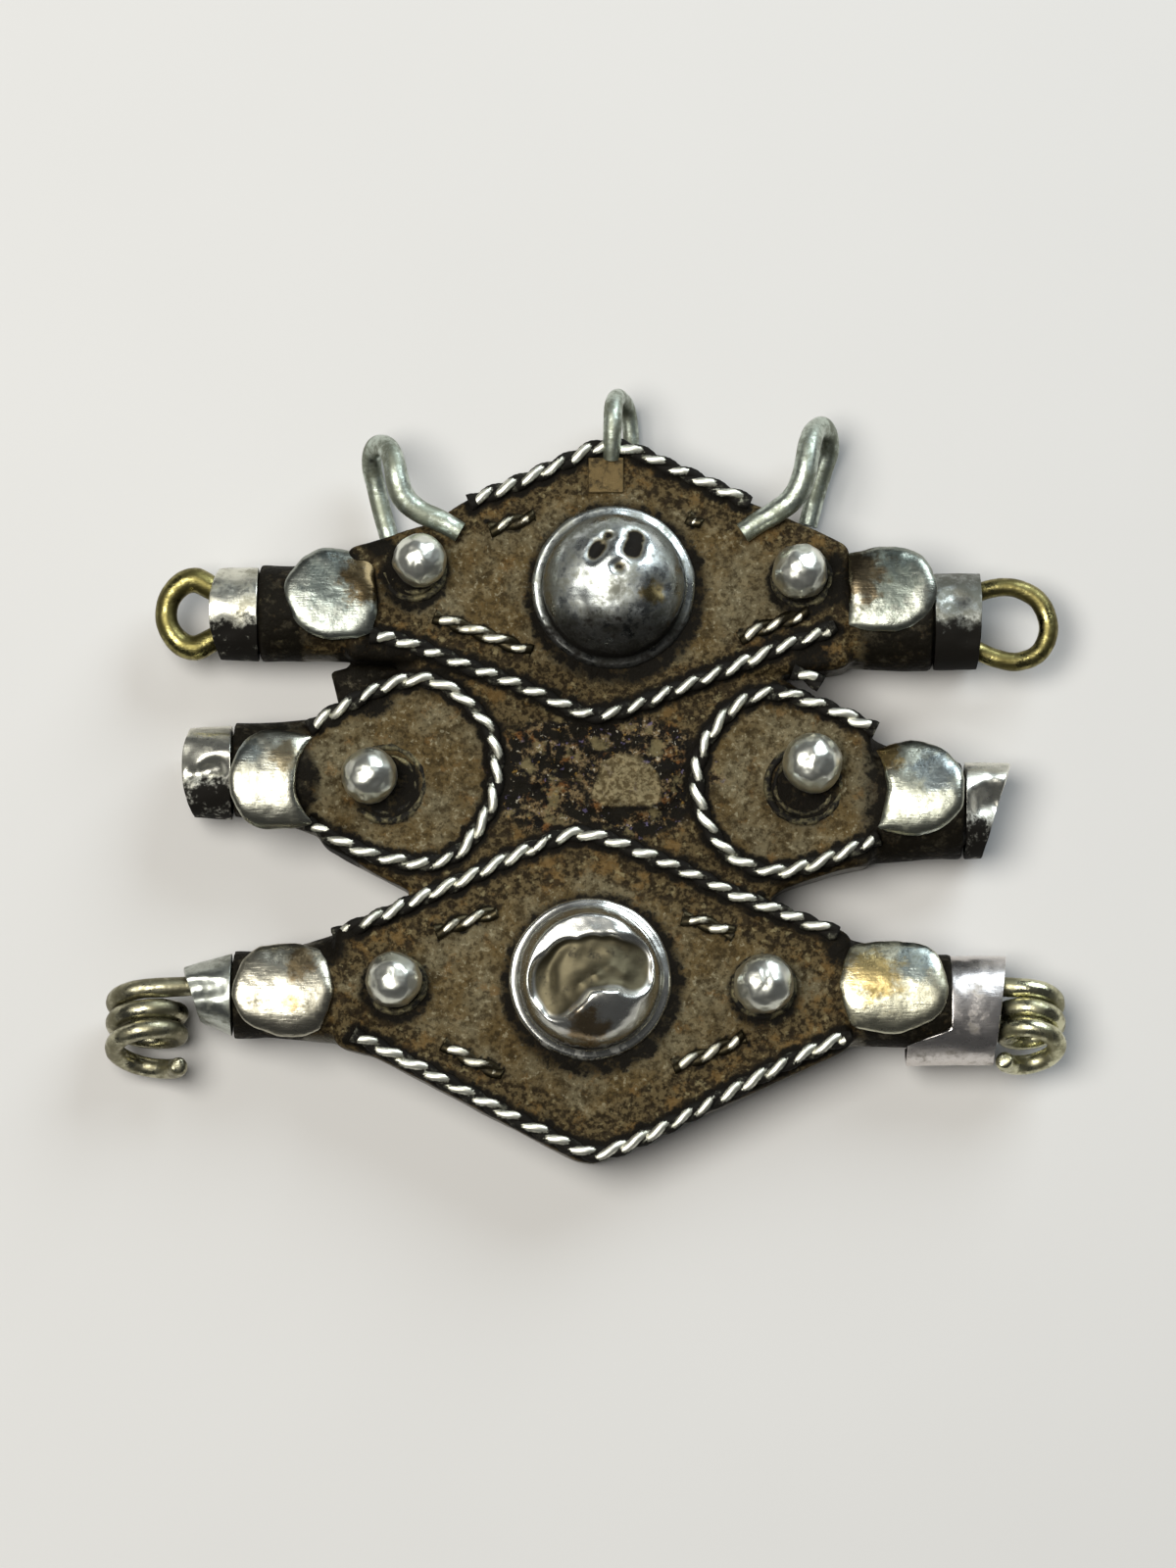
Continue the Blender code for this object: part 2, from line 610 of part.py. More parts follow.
BAIL_SIDES = 6
BAILS = {
    "left_bail": (
        BailPoint(-0.335, 0.435, 1.08, 0.72),
        BailPoint(-0.412, 0.540, 1.09, 0.76),
        BailPoint(-0.474, 0.620, 1.13, 0.84),
        BailPoint(-0.508, 0.720, 1.16, 0.98),
        BailPoint(-0.527, 0.832, 1.12, 1.02),
        BailPoint(-0.542, 0.920, 0.96, 1.00),
        BailPoint(-0.552, 0.955, 0.70, 0.95),
        BailPoint(-0.558, 0.920, 0.44, 0.92),
        BailPoint(-0.555, 0.780, 0.31, 0.88),
        BailPoint(-0.540, 0.560, 0.30, 0.86),
        BailPoint(-0.520, 0.400, 0.30, 0.86),
    ),
    "right_bail": (
        BailPoint(0.388, 0.440, 1.08, 0.72),
        BailPoint(0.446, 0.555, 1.09, 0.78),
        BailPoint(0.489, 0.600, 1.13, 0.86),
        BailPoint(0.523, 0.680, 1.17, 0.95),
        BailPoint(0.545, 0.785, 1.17, 1.02),
        BailPoint(0.563, 0.900, 1.13, 1.02),
        BailPoint(0.573, 1.000, 0.96, 1.00),
        BailPoint(0.585, 1.050, 0.70, 0.95),
        BailPoint(0.600, 1.010, 0.44, 0.90),
        BailPoint(0.603, 0.880, 0.31, 0.86),
        BailPoint(0.590, 0.700, 0.30, 0.84),
        BailPoint(0.570, 0.480, 0.30, 0.84),
    ),
    "middle_bail": (
        BailPoint(0.054, 0.820, 1.04, 0.66),
        BailPoint(0.057, 0.940, 1.08, 0.70),
        BailPoint(0.059, 1.060, 1.12, 0.72),
        BailPoint(0.062, 1.170, 1.04, 0.74),
        BailPoint(0.070, 1.240, 0.84, 0.72),
        BailPoint(0.083, 1.260, 0.60, 0.70),
        BailPoint(0.098, 1.230, 0.38, 0.68),
        BailPoint(0.106, 1.130, 0.27, 0.68),
        BailPoint(0.108, 1.000, 0.25, 0.68),
        BailPoint(0.105, 0.880, 0.25, 0.68),
    ),
}


def bail(name, points):
    """A wire bent over the top edge, from its cut foot on the front plate to the back."""
    centres = [on_row(UPPER, p.along, p.across, p.height * BODY_DEPTH) for p in points]
    path = smooth_path(centres, 2)
    radii = []
    for first, second in zip(points, points[1:]):
        radii += [first.wire * BAIL_WIRE_RADIUS, (first.wire + second.wire) / 2 * BAIL_WIRE_RADIUS]
    radii.append(points[-1].wire * BAIL_WIRE_RADIUS)
    return wire(name, path, radii, BAIL_SIDES)


def plate(name, centre, length, width, thickness, turn):
    """A flat piece of sheet, turned about Z."""
    spin = Matrix.Rotation(math.radians(turn), 3, "Z")
    rings = []
    for z in (-thickness / 2, thickness / 2):
        corners = ((1, 1), (-1, 1), (-1, -1), (1, -1))
        rings.append([centre + spin @ Vector((a * length / 2, b * width / 2, z)) for a, b in corners])
    return skin(name, rings)


def sheet_pieces():
    """The square foot of the middle bail, and the corner of back sheet between the two left arms."""
    foot = on_row(UPPER, 0.054, 0.80, front_of(UPPER))
    corner = on_row(MIDDLE, -0.545, 0.81, 2.5 * SHEET)
    return [
        plate("bail_foot", foot, PATCH_SIDE, PATCH_SIDE, 2 * PATCH_THICKNESS, 4),
        plate("back_corner", corner, FLANGE_LENGTH, FLANGE_WIDTH, 2 * SHEET, 14),
    ]


# The soldered body, one solid


def below_floor():
    """The block that trims the three rows to one flat back."""
    wide = 2 * max(row.left + row.right for row in (UPPER, MIDDLE, LOWER))
    return plate("below_floor", Vector((0, 0, -BODY_DEPTH)), wide, wide, 2 * BODY_DEPTH, 0)


def apply_group(obj, operation, name, members):
    group = bpy.data.collections.new(name)
    for member in members:
        group.objects.link(member)
        member.hide_render = True
        member.display_type = "WIRE"
    modifier = obj.modifiers.new(name, "BOOLEAN")
    modifier.operation = operation
    modifier.operand_type = "COLLECTION"
    modifier.collection = group
    modifier.solver = "EXACT"


def soldered_body():
    body = row_solid("body", UPPER)
    domes, hollows = bosses()
    added = [row_solid("middle_row", MIDDLE), row_solid("lower_row", LOWER)] + domes
    for name, spec in BALLS.items():
        added += ball_and_seat(name, spec)
    added += [disc(name, spec) for name, spec in DISCS.items()]
    added += [bail(name, points) for name, points in BAILS.items()]
    added += [lozenge_rope(name, row, shares) for name, (row, shares) in LOZENGE_ROPES.items()]
    added += [drop_rope(name, drop) for name, drop in DROPS.items()]
    added += [inner_wire(name, row, shares) for name, (row, shares) in INNER_LOZENGES.items()]
    added += sheet_pieces()
    hollows += [row_solid("upper_hollow", UPPER, SHEET)]
    hollows += [row_solid("middle_hollow", MIDDLE, SHEET)]
    hollows += [row_solid("lower_hollow", LOWER, SHEET)]
    hollows.append(below_floor())
    apply_group(body, "UNION", "soldered_on", added)
    apply_group(body, "DIFFERENCE", "hollowed_out", hollows)
    return body


# Brass wire eyes in the upper arms

WIRE_SIDES = 6
LEFT_EYE = (
    EyePoint(-3.9, 1.30, 1.0),
    EyePoint(-1.8, 1.75, 1.05),
    EyePoint(0.0, 2.60, 1.15),
    EyePoint(1.4, 3.35, 1.30),
    EyePoint(2.9, 2.90, 1.20),
    EyePoint(4.0, 1.55, 1.08),
    EyePoint(4.35, 0.0, 1.05),
)
RIGHT_EYE = (
    EyePoint(-3.9, 1.50, 0.9),
    EyePoint(-1.6, 2.20, 0.9),
    EyePoint(0.6, 3.20, 0.9),
    EyePoint(3.0, 3.70, 0.9),
    EyePoint(5.2, 3.00, 0.95),
    EyePoint(6.3, 1.60, 0.95),
    EyePoint(6.65, 0.0, 0.95),
)


def eye(name, spec, points, up_shift):
    """A wire bent to an open eye, its two legs pushed up the bore; out and up are in wire radii from the mouth."""
    mouth = mouth_of(spec)
    turned = list(points) + [EyePoint(p.out, -p.up, p.wire) for p in reversed(points[:-1])]
    centres = []
    for point in turned:
        shift = up_shift * max(0.0, point.out) / 4
        along = spec.side * point.out * EYE_WIRE_RADIUS
        centres.append(mouth + Vector((along, (point.up + shift) * EYE_WIRE_RADIUS, 0)))
    path = smooth_path(centres, 2)
    radii = []
    for first, second in zip(turned, turned[1:]):
        radii += [first.wire * EYE_WIRE_RADIUS, (first.wire + second.wire) / 2 * EYE_WIRE_RADIUS]
    radii.append(turned[-1].wire * EYE_WIRE_RADIUS)
    return wire(name, path, radii, WIRE_SIDES)


# Wire coils in the lower arms

COILS = {
    "coil_left": Coil("collar_lower_left", 1.065, -0.32, -1.15, 15.0, 0.89, 0.00),
    "coil_right": Coil("collar_lower_right", 0.87, 0.16, -0.48, 22.0, 0.56, -0.89),
}
COIL_STEPS = 13
COIL_TURNS = 2.75


def coil(name, spec):
    """A wire that leaves the mouth, winds nearly three turns round an axis along -Y and ends beside the mouth."""
    collar_spec = COLLARS[spec.collar]
    out = Vector((collar_spec.side, 0, 0))
    lean = math.radians(spec.lean)
    along = Vector((0, -math.cos(lean), math.sin(lean)))
    over = Vector((0, math.sin(lean), math.cos(lean)))
    radius = spec.radius * COIL_RADIUS
    reach = radius + (1 + spec.gap) * COIL_WIRE_RADIUS
    centre = mouth_of(collar_spec) + reach * out
    centre += Vector((0, spec.start, spec.lift)) * COIL_WIRE_RADIUS
    pitch = 2 * COIL_WIRE_RADIUS + COIL_TURN_GAP
    path = []
    reach += TAIL_SHARE * collar_spec.length * COLLAR_LENGTH
    for distance, drop in ((1.0, 1.0), (0.62, 0.75), (0.36, 0.25)):
        start = centre + radius * over - out * distance * reach
        path.append(start - Vector((0, 0, 0.5 * COIL_WIRE_RADIUS * drop)) - along * 0.3 * COIL_WIRE_RADIUS * drop)
    for step in range(round(COIL_STEPS * COIL_TURNS) + 1):
        turn = step / COIL_STEPS
        angle = 2 * math.pi * turn
        advance = pitch * turn + spec.splay * COIL_WIRE_RADIUS * max(0.0, turn - 2) * 2
        path.append(centre + along * advance + radius * (math.sin(angle) * out + math.cos(angle) * over))
    return wire(name, path, [COIL_WIRE_RADIUS] * len(path), WIRE_SIDES)


# Materials


def finish(obj, name, colour, roughness):
    material = bpy.data.materials.new(name)
    material.use_nodes = True
    shader = next(node for node in material.node_tree.nodes if node.type == "BSDF_PRINCIPLED")
    shader.inputs["Base Color"].default_value = (*colour, 1)
    shader.inputs["Metallic"].default_value = 1.0
    shader.inputs["Roughness"].default_value = roughness
    obj.data.materials.clear()
    obj.data.materials.append(material)
    return obj


def main():
    clear_scene()
    finish(soldered_body(), "body_silver", (0.36, 0.35, 0.31), 0.42)
    for name, spec in COLLARS.items():
        finish(collar(name, spec), name + "_silver", (0.45, 0.44, 0.40), 0.38)
    left = COLLARS["collar_upper_left"]
    right = COLLARS["collar_upper_right"]
    finish(eye("eye_left", left, LEFT_EYE, 0.0), "eye_left_brass", (0.42, 0.38, 0.16), 0.36)
    finish(eye("eye_right", right, RIGHT_EYE, -0.35), "eye_right_brass", (0.42, 0.38, 0.16), 0.36)
    for name, spec in COILS.items():
        finish(coil(name, spec), name + "_wire", (0.38, 0.36, 0.28), 0.40)


main()
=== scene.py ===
"""The looks of the silver necklace centrepiece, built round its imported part.

Metres, with +Z out of the front, +X along the rows and +Y to the edge with the bails.
"""

import math
from collections import namedtuple

import bmesh
import bpy
from mathutils import Matrix, Vector, kdtree


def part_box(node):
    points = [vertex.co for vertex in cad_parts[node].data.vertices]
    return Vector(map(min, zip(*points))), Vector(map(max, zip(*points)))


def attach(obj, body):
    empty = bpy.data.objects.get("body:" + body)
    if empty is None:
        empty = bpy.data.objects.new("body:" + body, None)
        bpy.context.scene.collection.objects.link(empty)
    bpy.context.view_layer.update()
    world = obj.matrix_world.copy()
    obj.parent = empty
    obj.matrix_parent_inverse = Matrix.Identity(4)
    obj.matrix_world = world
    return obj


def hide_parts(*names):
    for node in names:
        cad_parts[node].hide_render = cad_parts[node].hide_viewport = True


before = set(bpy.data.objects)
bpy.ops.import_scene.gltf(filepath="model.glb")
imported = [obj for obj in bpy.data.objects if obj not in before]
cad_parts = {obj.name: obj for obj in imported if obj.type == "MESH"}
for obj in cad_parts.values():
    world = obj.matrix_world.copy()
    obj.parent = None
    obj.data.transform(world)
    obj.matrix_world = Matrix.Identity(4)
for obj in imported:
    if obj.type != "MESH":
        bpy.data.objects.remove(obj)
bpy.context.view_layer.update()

# The sheet body: three low boxes of hammered silver side by side, each narrowing to a round arm at both ends.
# Top and back sheets are soldered to bent side walls, the arms are rolled tubes let into the ends, and solder
# and old dirt have run into every joint, so the whole is one skin.

MM = 0.001
Slice = namedtuple("Slice", "along bottom top front back", defaults=(0,))
Arm = namedtuple("Arm", "collar side start radius bore y")
ROW_SLICES = {
    "upper": (
        Slice(-15.2, 7.5, 14.7, 5.8), Slice(-13.6, 7.5, 15.1, 5.55), Slice(-9.9, 7.2, 16.4, 5.2),
        Slice(-7.4, 6.2, 17.9, 5.2), Slice(0.1, 3.1, 21.15, 5.2), Slice(1.5, 3.6, 21.7, 5.2),
        Slice(10.3, 6.6, 17.9, 5.2), Slice(15.1, 6.8, 15.8, 5.36), Slice(17, 7.1, 14.8, 5.65),
    ),
    "middle": (
        Slice(-16.9, -4.2, 4.1, 5.5), Slice(-15.9, -4.7, 4.6, 5.34), Slice(-13.4, -6.1, 6.2, 4.94),
        Slice(-9.8, -7.9, 7.8, 4.94), Slice(9.8, -8.8, 6.8, 4.94), Slice(12.8, -7.1, 6.3, 4.94),
        Slice(16, -6, 4.2, 5.14), Slice(18.4, -5.5, 3.1, 5.5),
    ),
    "lower": (
        Slice(-15.9, -17.1, -9.7, 5.75), Slice(-13.5, -17.7, -8.7, 5.46), Slice(-9.8, -19.6, -6.9, 5.2),
        Slice(-0.6, -24.4, -3.2, 5.2), Slice(0.6, -24.6, -3.4, 5.2), Slice(10, -20.4, -7.3, 5.2),
        Slice(14.4, -18.4, -9, 5.2), Slice(17, -17.2, -10.1, 5.62),
    ),
}
ARMS = (
    Arm("collar_upper_left", -1, 13.9, 3.1, 2.3, 10.66),
    Arm("collar_upper_right", 1, 16, 3.14, 2.3, 10.16),
    Arm("collar_middle_left", -1, 15.6, 3.04, 2, 0.6),
    Arm("collar_middle_right", 1, 17.4, 3.14, 2, -2),
    Arm("collar_lower_left", -1, 15.2, 2.79, 1.6, -13.8),
    Arm("collar_lower_right", 1, 16.4, 3, 1.9, -14.2),
)
ARM_HEIGHT = 3.2
ARM_SIDES = 48
ARM_TAPER = 0.7
ARM_INSET = 0.1
# How much of the slipped collar covers its arm
SLIPPED_COLLAR = 3.3
SLEEVE_GAP = 0.15
SLEEVE_OVERLAP = 1.2
TUBE_WALL = 0.5
TUBE_DEPTH = 6.0
EDGE_ROUND = 0.55
SKIN_VOXEL = 0.24
UNIT_FACE = Slice(0, -500, 500, 500, -500)
# The corner of back sheet that shows between two arms: its place, its size and its turn
BACK_CORNER = ((-14.06, 6.5, 0.9), (4.2, 2.4, 0.9), 14)
HAMMERED = (4.0, 0.24)
Patch = namedtuple("Patch", "x y half_width half_height")
CRUST_PATCH = Patch(1.0, 0.0, 7.5, 4.2)
CRUST_RELIEF = ((1.7, 0.75), (0.6, 0.5))
CRUST_SLOPE = 2.6
Scar = namedtuple("Scar", "x y size rise")
SCAR = Scar(2.9, -0.2, 2.6, 0.45)
# All that lies higher than this is the front
FRONT_ABOVE = 4.0
# A crease goes to the corner of the mesh that is nearest to its place at this height
PUNCH_HEIGHT = 6.0


def take_up(piece):
    """Only this piece is selected."""
    bpy.ops.object.select_all(action="DESELECT")
    piece.select_set(True)
    bpy.context.view_layer.objects.active = piece


def finish_with(piece, kind, **settings):
    """A modifier with these settings, applied."""
    take_up(piece)
    modifier = piece.modifiers.new(kind.lower(), kind)
    for name, value in settings.items():
        setattr(modifier, name, value)
    bpy.ops.object.modifier_apply(modifier=modifier.name)


def round_edges(piece, width, segments, angle):
    """Rounds the edges that turn by more than this angle."""
    finish_with(
        piece, "BEVEL", width=width * MM, segments=segments,
        limit_method="ANGLE", angle_limit=math.radians(angle),
    )


def name_piece(piece, name):
    """Names a piece and its mesh."""
    piece.name = name
    piece.data.name = name
    return piece


def added(name, add, **settings):
    """A new piece from one of Blender's simple shapes, with its place applied."""
    bpy.ops.object.select_all(action="DESELECT")
    add(**settings)
    piece = name_piece(bpy.context.object, name)
    bpy.ops.object.transform_apply(location=True, rotation=True, scale=True)
    return piece


def block(name, place, size, turn=0):
    """A block, its place and size in millimetres, turned about Z."""
    return added(
        name, bpy.ops.mesh.primitive_cube_add, size=MM, location=Vector(place) * MM,
        rotation=(0, 0, math.radians(turn)), scale=size,
    )


def joined(pieces, name):
    """The pieces as one."""
    take_up(pieces[-1])
    for piece in pieces:
        piece.select_set(True)
    bpy.ops.object.join()
    return name_piece(bpy.context.object, name)


def edit_all():
    """Edit mode, with everything selected."""
    bpy.ops.object.mode_set(mode="EDIT")
    bpy.ops.mesh.select_all(action="SELECT")


def uneven(piece, name, size, depth, **settings):
    """Presses the surface in and out by a cloudy pattern of this size and depth in millimetres."""
    pattern = bpy.data.textures.new(name, "CLOUDS")
    pattern.noise_scale = size * MM
    finish_with(piece, "DISPLACE", texture=pattern, strength=depth * MM, mid_level=0.5, **settings)


def pushed_in(piece, centre, depth, size, falloff="SMOOTH"):
    """Pushes the corner nearest to a place down, and those round it with it, as a punch would."""
    take_up(piece)
    bpy.ops.object.mode_set(mode="EDIT")
    shape = bmesh.from_edit_mesh(piece.data)
    for corner in shape.verts:
        corner.select = False
    near = min(shape.verts, key=lambda corner: (corner.co - centre).length)
    near.select = True
    shape.select_flush(True)
    bmesh.update_edit_mesh(piece.data)
    bpy.ops.transform.translate(
        value=(0, 0, -depth * MM), use_proportional_edit=True, proportional_size=size * MM,
        proportional_edit_falloff=falloff,
    )
    bpy.ops.object.mode_set(mode="OBJECT")


def feed(tree, socket, value):
    """Links a socket to a value's socket, or sets it."""
    if isinstance(value, bpy.types.NodeSocket):
        tree.links.new(value, socket)
    else:
        socket.default_value = value


def maths(tree, operation, *values):
    """The result of a sum on numbers and sockets."""
    node = tree.nodes.new("ShaderNodeMath")
    node.operation = operation
    for socket, value in zip(node.inputs, values):
        feed(tree, socket, value)
    return node.outputs[0]


def weighed(tree, first, share, second, other_share):
    """A share of one value and a share of another, added up."""
    return maths(tree, "MULTIPLY_ADD", first, share, maths(tree, "MULTIPLY", second, other_share))


def ramp(tree, value, start, end, low=0.0, high=1.0):
    """A smooth rise from low to high while the value goes from start to end."""
    node = tree.nodes.new("ShaderNodeMapRange")
    node.interpolation_type = "SMOOTHSTEP"
    for socket, given in zip(node.inputs, (value, start, end, low, high)):
        feed(tree, socket, given)
    return node.outputs[0]


def mixed(tree, share, low, high):
    """A colour between two."""
    node = tree.nodes.new("ShaderNodeMix")
    node.data_type = "RGBA"
    for number, given in ((0, share), (6, low), (7, high)):
        if isinstance(given, tuple):
            given = (*given, 1)
        feed(tree, node.inputs[number], given)
    return node.outputs[2]


def cloud(tree, place, size, detail=4.0, roughness=0.6):
    """Noise with features of about this size in millimetres."""
    node = tree.nodes.new("ShaderNodeTexNoise")
    given = {"Vector": place, "Scale": 1 / (size * MM), "Detail": detail, "Roughness": roughness}
    for name, value in given.items():
        feed(tree, node.inputs[name], value)
    return node.outputs[0]


def attribute(tree, name):
    """The number that the mesh keeps under this name."""
    node = tree.nodes.new("ShaderNodeAttribute")
    node.attribute_name = name
    return node.outputs["Fac"]


def new_material(name):
    """A material, its tree, the place on the object as a socket, and its main shader."""
    material = bpy.data.materials.new(name)
    material.use_nodes = True
    tree = material.node_tree
    place = tree.nodes.new("ShaderNodeTexCoord").outputs["Object"]
    return material, tree, place, tree.nodes["Principled BSDF"]


def place_along(tree, place, axis):
    """The place along this axis, in millimetres. Z is the height above the back."""
    parts = tree.nodes.new("ShaderNodeSeparateXYZ")
    feed(tree, parts.inputs[0], place)
    return maths(tree, "DIVIDE", parts.outputs[axis], MM)


def relief(tree, shader, height, depth):
    """Bump of this depth in millimetres."""
    bump = tree.nodes.new("ShaderNodeBump")
    bump.inputs["Distance"].default_value = depth * MM
    feed(tree, bump.inputs["Height"], height)
    feed(tree, shader.inputs["Normal"], bump.outputs[0])


SILVER_TAKES = {"Place": "Vector", "Polish": "Float", "Dirt": "Float", "Tint": "Color", "Satin": "Float"}
SILVER_GIVES = {"Colour": "Color", "Roughness": "Float", "Metallic": "Float", "Height": "Float"}
CLEAN_SILVER = (0.82, 0.81, 0.76)
TARNISHED_SILVER = (0.34, 0.325, 0.27)
# The black of dirt, used for painted shade and painted shadow as well
BLACK_DIRT_AND_SHADE = (0.005, 0.004, 0.0025)


def make_worn_silver():
    """Worn silver: bright high spots, grey blotches of tarnish, fine scratches, and black dirt in pits. The
    black spreads out of the pits as its darkening input rises, which carries dirt and also painted shade.
    """
    group = bpy.data.node_groups.new("worn_silver", "ShaderNodeTree")
    for way, sockets in (("INPUT", SILVER_TAKES), ("OUTPUT", SILVER_GIVES)):
        for name, kind in sockets.items():
            group.interface.new_socket(name, in_out=way, socket_type="NodeSocket" + kind)
    given = group.nodes.new("NodeGroupInput").outputs
    result = group.nodes.new("NodeGroupOutput").inputs
    place = given["Place"]
    blotches = cloud(group, place, 1.5, 5)
    specks = cloud(group, place, 0.3, 4, 0.7)
    stretched = group.nodes.new("ShaderNodeMapping")
    stretched.inputs["Rotation"].default_value = (0.3, 0.2, 0.7)
    stretched.inputs["Scale"].default_value = (1, 9, 3)
    feed(group, stretched.inputs["Vector"], place)
    scratches = cloud(group, stretched.outputs[0], 1.2, 3)
    both = weighed(group, blotches, 0.7, specks, 0.3)
    edge = maths(group, "MULTIPLY_ADD", given["Polish"], 0.4, 0.24)
    tarnish = ramp(group, both, edge, maths(group, "ADD", edge, 0.2))
    pits = weighed(group, cloud(group, place, 0.8, 6, 0.65), 0.8, specks, 0.2)
    rim = maths(group, "MULTIPLY_ADD", given["Dirt"], -0.55, 0.86)
    dirt = ramp(group, pits, maths(group, "SUBTRACT", rim, 0.08), maths(group, "ADD", rim, 0.16))
    tinted = group.nodes.new("ShaderNodeMix")
    tinted.data_type = "RGBA"
    tinted.blend_type = "MULTIPLY"
    tinted.inputs[0].default_value = 1
    feed(group, tinted.inputs[6], mixed(group, tarnish, CLEAN_SILVER, TARNISHED_SILVER))
    feed(group, tinted.inputs[7], given["Tint"])
    feed(group, result["Colour"], mixed(group, dirt, tinted.outputs[2], BLACK_DIRT_AND_SHADE))
    dull = maths(group, "ADD", tarnish, maths(group, "MULTIPLY", scratches, 0.4))
    dull = maths(group, "ADD", ramp(group, dull, 0.0, 1.3, 0.2, 0.5), given["Satin"])
    duller = maths(group, "SUBTRACT", 0.8, dull)
    feed(group, result["Roughness"], maths(group, "MULTIPLY_ADD", dirt, duller, dull))
    feed(group, result["Metallic"], maths(group, "MULTIPLY_ADD", dirt, -0.85, 1.0))
    rises = maths(group, "MULTIPLY_ADD", specks, 0.2, weighed(group, blotches, 0.8, scratches, 0.25))
    feed(group, result["Height"], maths(group, "MULTIPLY_ADD", dirt, -0.35, rises))
    return group


WORN_SILVER = make_worn_silver()


def silver_in(tree, place, polish, dirt, tint=(1, 1, 1), satin=0.0):
    """The outputs of worn silver placed in a material."""
    node = tree.nodes.new("ShaderNodeGroup")
    node.node_tree = WORN_SILVER
    for name, given in (("Place", place), ("Polish", polish), ("Dirt", dirt), ("Satin", satin)):
        feed(tree, node.inputs[name], given)
    feed(tree, node.inputs["Tint"], (*tint, 1) if isinstance(tint, tuple) else tint)
    return node.outputs


def belong(pieces, material):
    """The material of these pieces and their place in the part."""
    for piece in pieces:
        piece.data.materials.clear()
        piece.data.materials.append(material)
        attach(piece, "root")


def draw_out(slices):
    """Draws the end face out through its slices, which are in millimetres."""
    edit_all()
    last = UNIT_FACE
    for number, cut in enumerate(slices):
        if number:
            bpy.ops.mesh.extrude_region_move()
        middle, old = [
            MM * Vector((end.along, (end.bottom + end.top) / 2, (end.back + end.front) / 2))
            for end in (cut, last)
        ]
        wide = (cut.top - cut.bottom) / (last.top - last.bottom)
        deep = (cut.front - cut.back) / (last.front - last.back)
        bpy.ops.transform.resize(value=(1, wide, deep), center_override=old)
        bpy.ops.transform.translate(value=middle - old)
        last = cut


def close_up():
    """Turns every face outwards and leaves edit mode."""
    bpy.ops.mesh.select_all(action="SELECT")
    bpy.ops.mesh.normals_make_consistent(inside=False)
    bpy.ops.object.mode_set(mode="OBJECT")


def bent_box(name, slices):
    """One row's box, with its edges rounded."""
    box = added(name, bpy.ops.mesh.primitive_plane_add, size=1, rotation=(0, math.pi / 2, 0))
    draw_out(slices)
    close_up()
    round_edges(box, EDGE_ROUND, 3, 40)
    return box


def rolled_arm(arm, slices):
    """A tube from inside the box to its collar, and a thinner, hollow end that goes up the collar."""
    low, high = [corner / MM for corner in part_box(arm.collar)]
    root = arm.side * (min(abs(low.x), abs(high.x)) - SLEEVE_GAP)
    if arm.collar == "collar_lower_right":
        root = arm.side * (abs(high.x) - SLIPPED_COLLAR - SLEEVE_GAP)
    box_end = slices[0] if arm.side < 0 else slices[-1]
    start = arm.side * arm.start
    bottom, top = box_end.bottom + ARM_INSET, box_end.top - ARM_INSET
    shapes = [Slice(start, bottom, top, box_end.front - ARM_INSET / 2, ARM_INSET)]
    for along, reach in (
        (start + ARM_TAPER * (root - start), arm.radius), (root, arm.radius),
        (root, arm.bore), (root + arm.side * SLEEVE_OVERLAP, arm.bore),
    ):
        shapes.append(Slice(along, arm.y - reach, arm.y + reach, ARM_HEIGHT + reach, ARM_HEIGHT - reach))
    tube = added(
        arm.collar + "_arm", bpy.ops.mesh.primitive_circle_add, vertices=ARM_SIDES, radius=0.5,
        fill_type="NGON", rotation=(0, math.pi / 2, 0),
    )
    draw_out(shapes)
    bpy.ops.mesh.inset(thickness=TUBE_WALL * MM)
    bpy.ops.mesh.extrude_region_move(
        TRANSFORM_OT_translate={"value": (-arm.side * TUBE_DEPTH * MM, 0, 0)}
    )
    close_up()
    return tube


parts = [bent_box(row + "_box", slices) for row, slices in ROW_SLICES.items()]
for arm in ARMS:
    parts.append(rolled_arm(arm, ROW_SLICES[arm.collar.split("_")[1]]))
parts.append(block("back_corner", *BACK_CORNER))
body = joined(parts[::-1], "sheet_body")
finish_with(body, "REMESH", mode="VOXEL", voxel_size=SKIN_VOXEL * MM, use_smooth_shade=True)
finish_with(body, "SMOOTH", factor=0.5, iterations=3)
uneven(body, "hammering", *HAMMERED)


def from_crust(x, y):
    """How far a place is from the middle of the crusted patch, 1 at its rim."""
    across = (x - CRUST_PATCH.x) / CRUST_PATCH.half_width
    return math.hypot(across, (y - CRUST_PATCH.y) / CRUST_PATCH.half_height)


crusted = body.vertex_groups.new(name="crusted")
for corner in body.data.vertices:
    corner.co.z = max(corner.co.z, 0)
    if corner.co.z > FRONT_ABOVE * MM:
        share = max(0, min(1, CRUST_SLOPE * (1 - from_crust(corner.co.x / MM, corner.co.y / MM))))
        crusted.add([corner.index], share, "REPLACE")
for number, (size, depth) in enumerate(CRUST_RELIEF):
    uneven(body, f"crust_{number}", size, depth, vertex_group="crusted", direction="Z")
pushed_in(body, Vector((SCAR.x, SCAR.y, PUNCH_HEIGHT)) * MM, -SCAR.rise, SCAR.size, "ROOT")

SHEET_MARKS = ("soot", "crust", "scar", "arm", "field")
# Each cloud's size in millimetres, its detail and its roughness
SHEET_CLOUDS = {
    "broad": (3.0, 5, 0.6), "middling": (0.9, 6, 0.65), "grit": (0.34, 3, 0.65), "spots": (0.6, 4, 0.6),
    "rust": (1.6, 5, 0.7), "hollows": (1.3, 5, 0.6),
}
Layer = namedtuple("Layer", "cloud start end share colour")
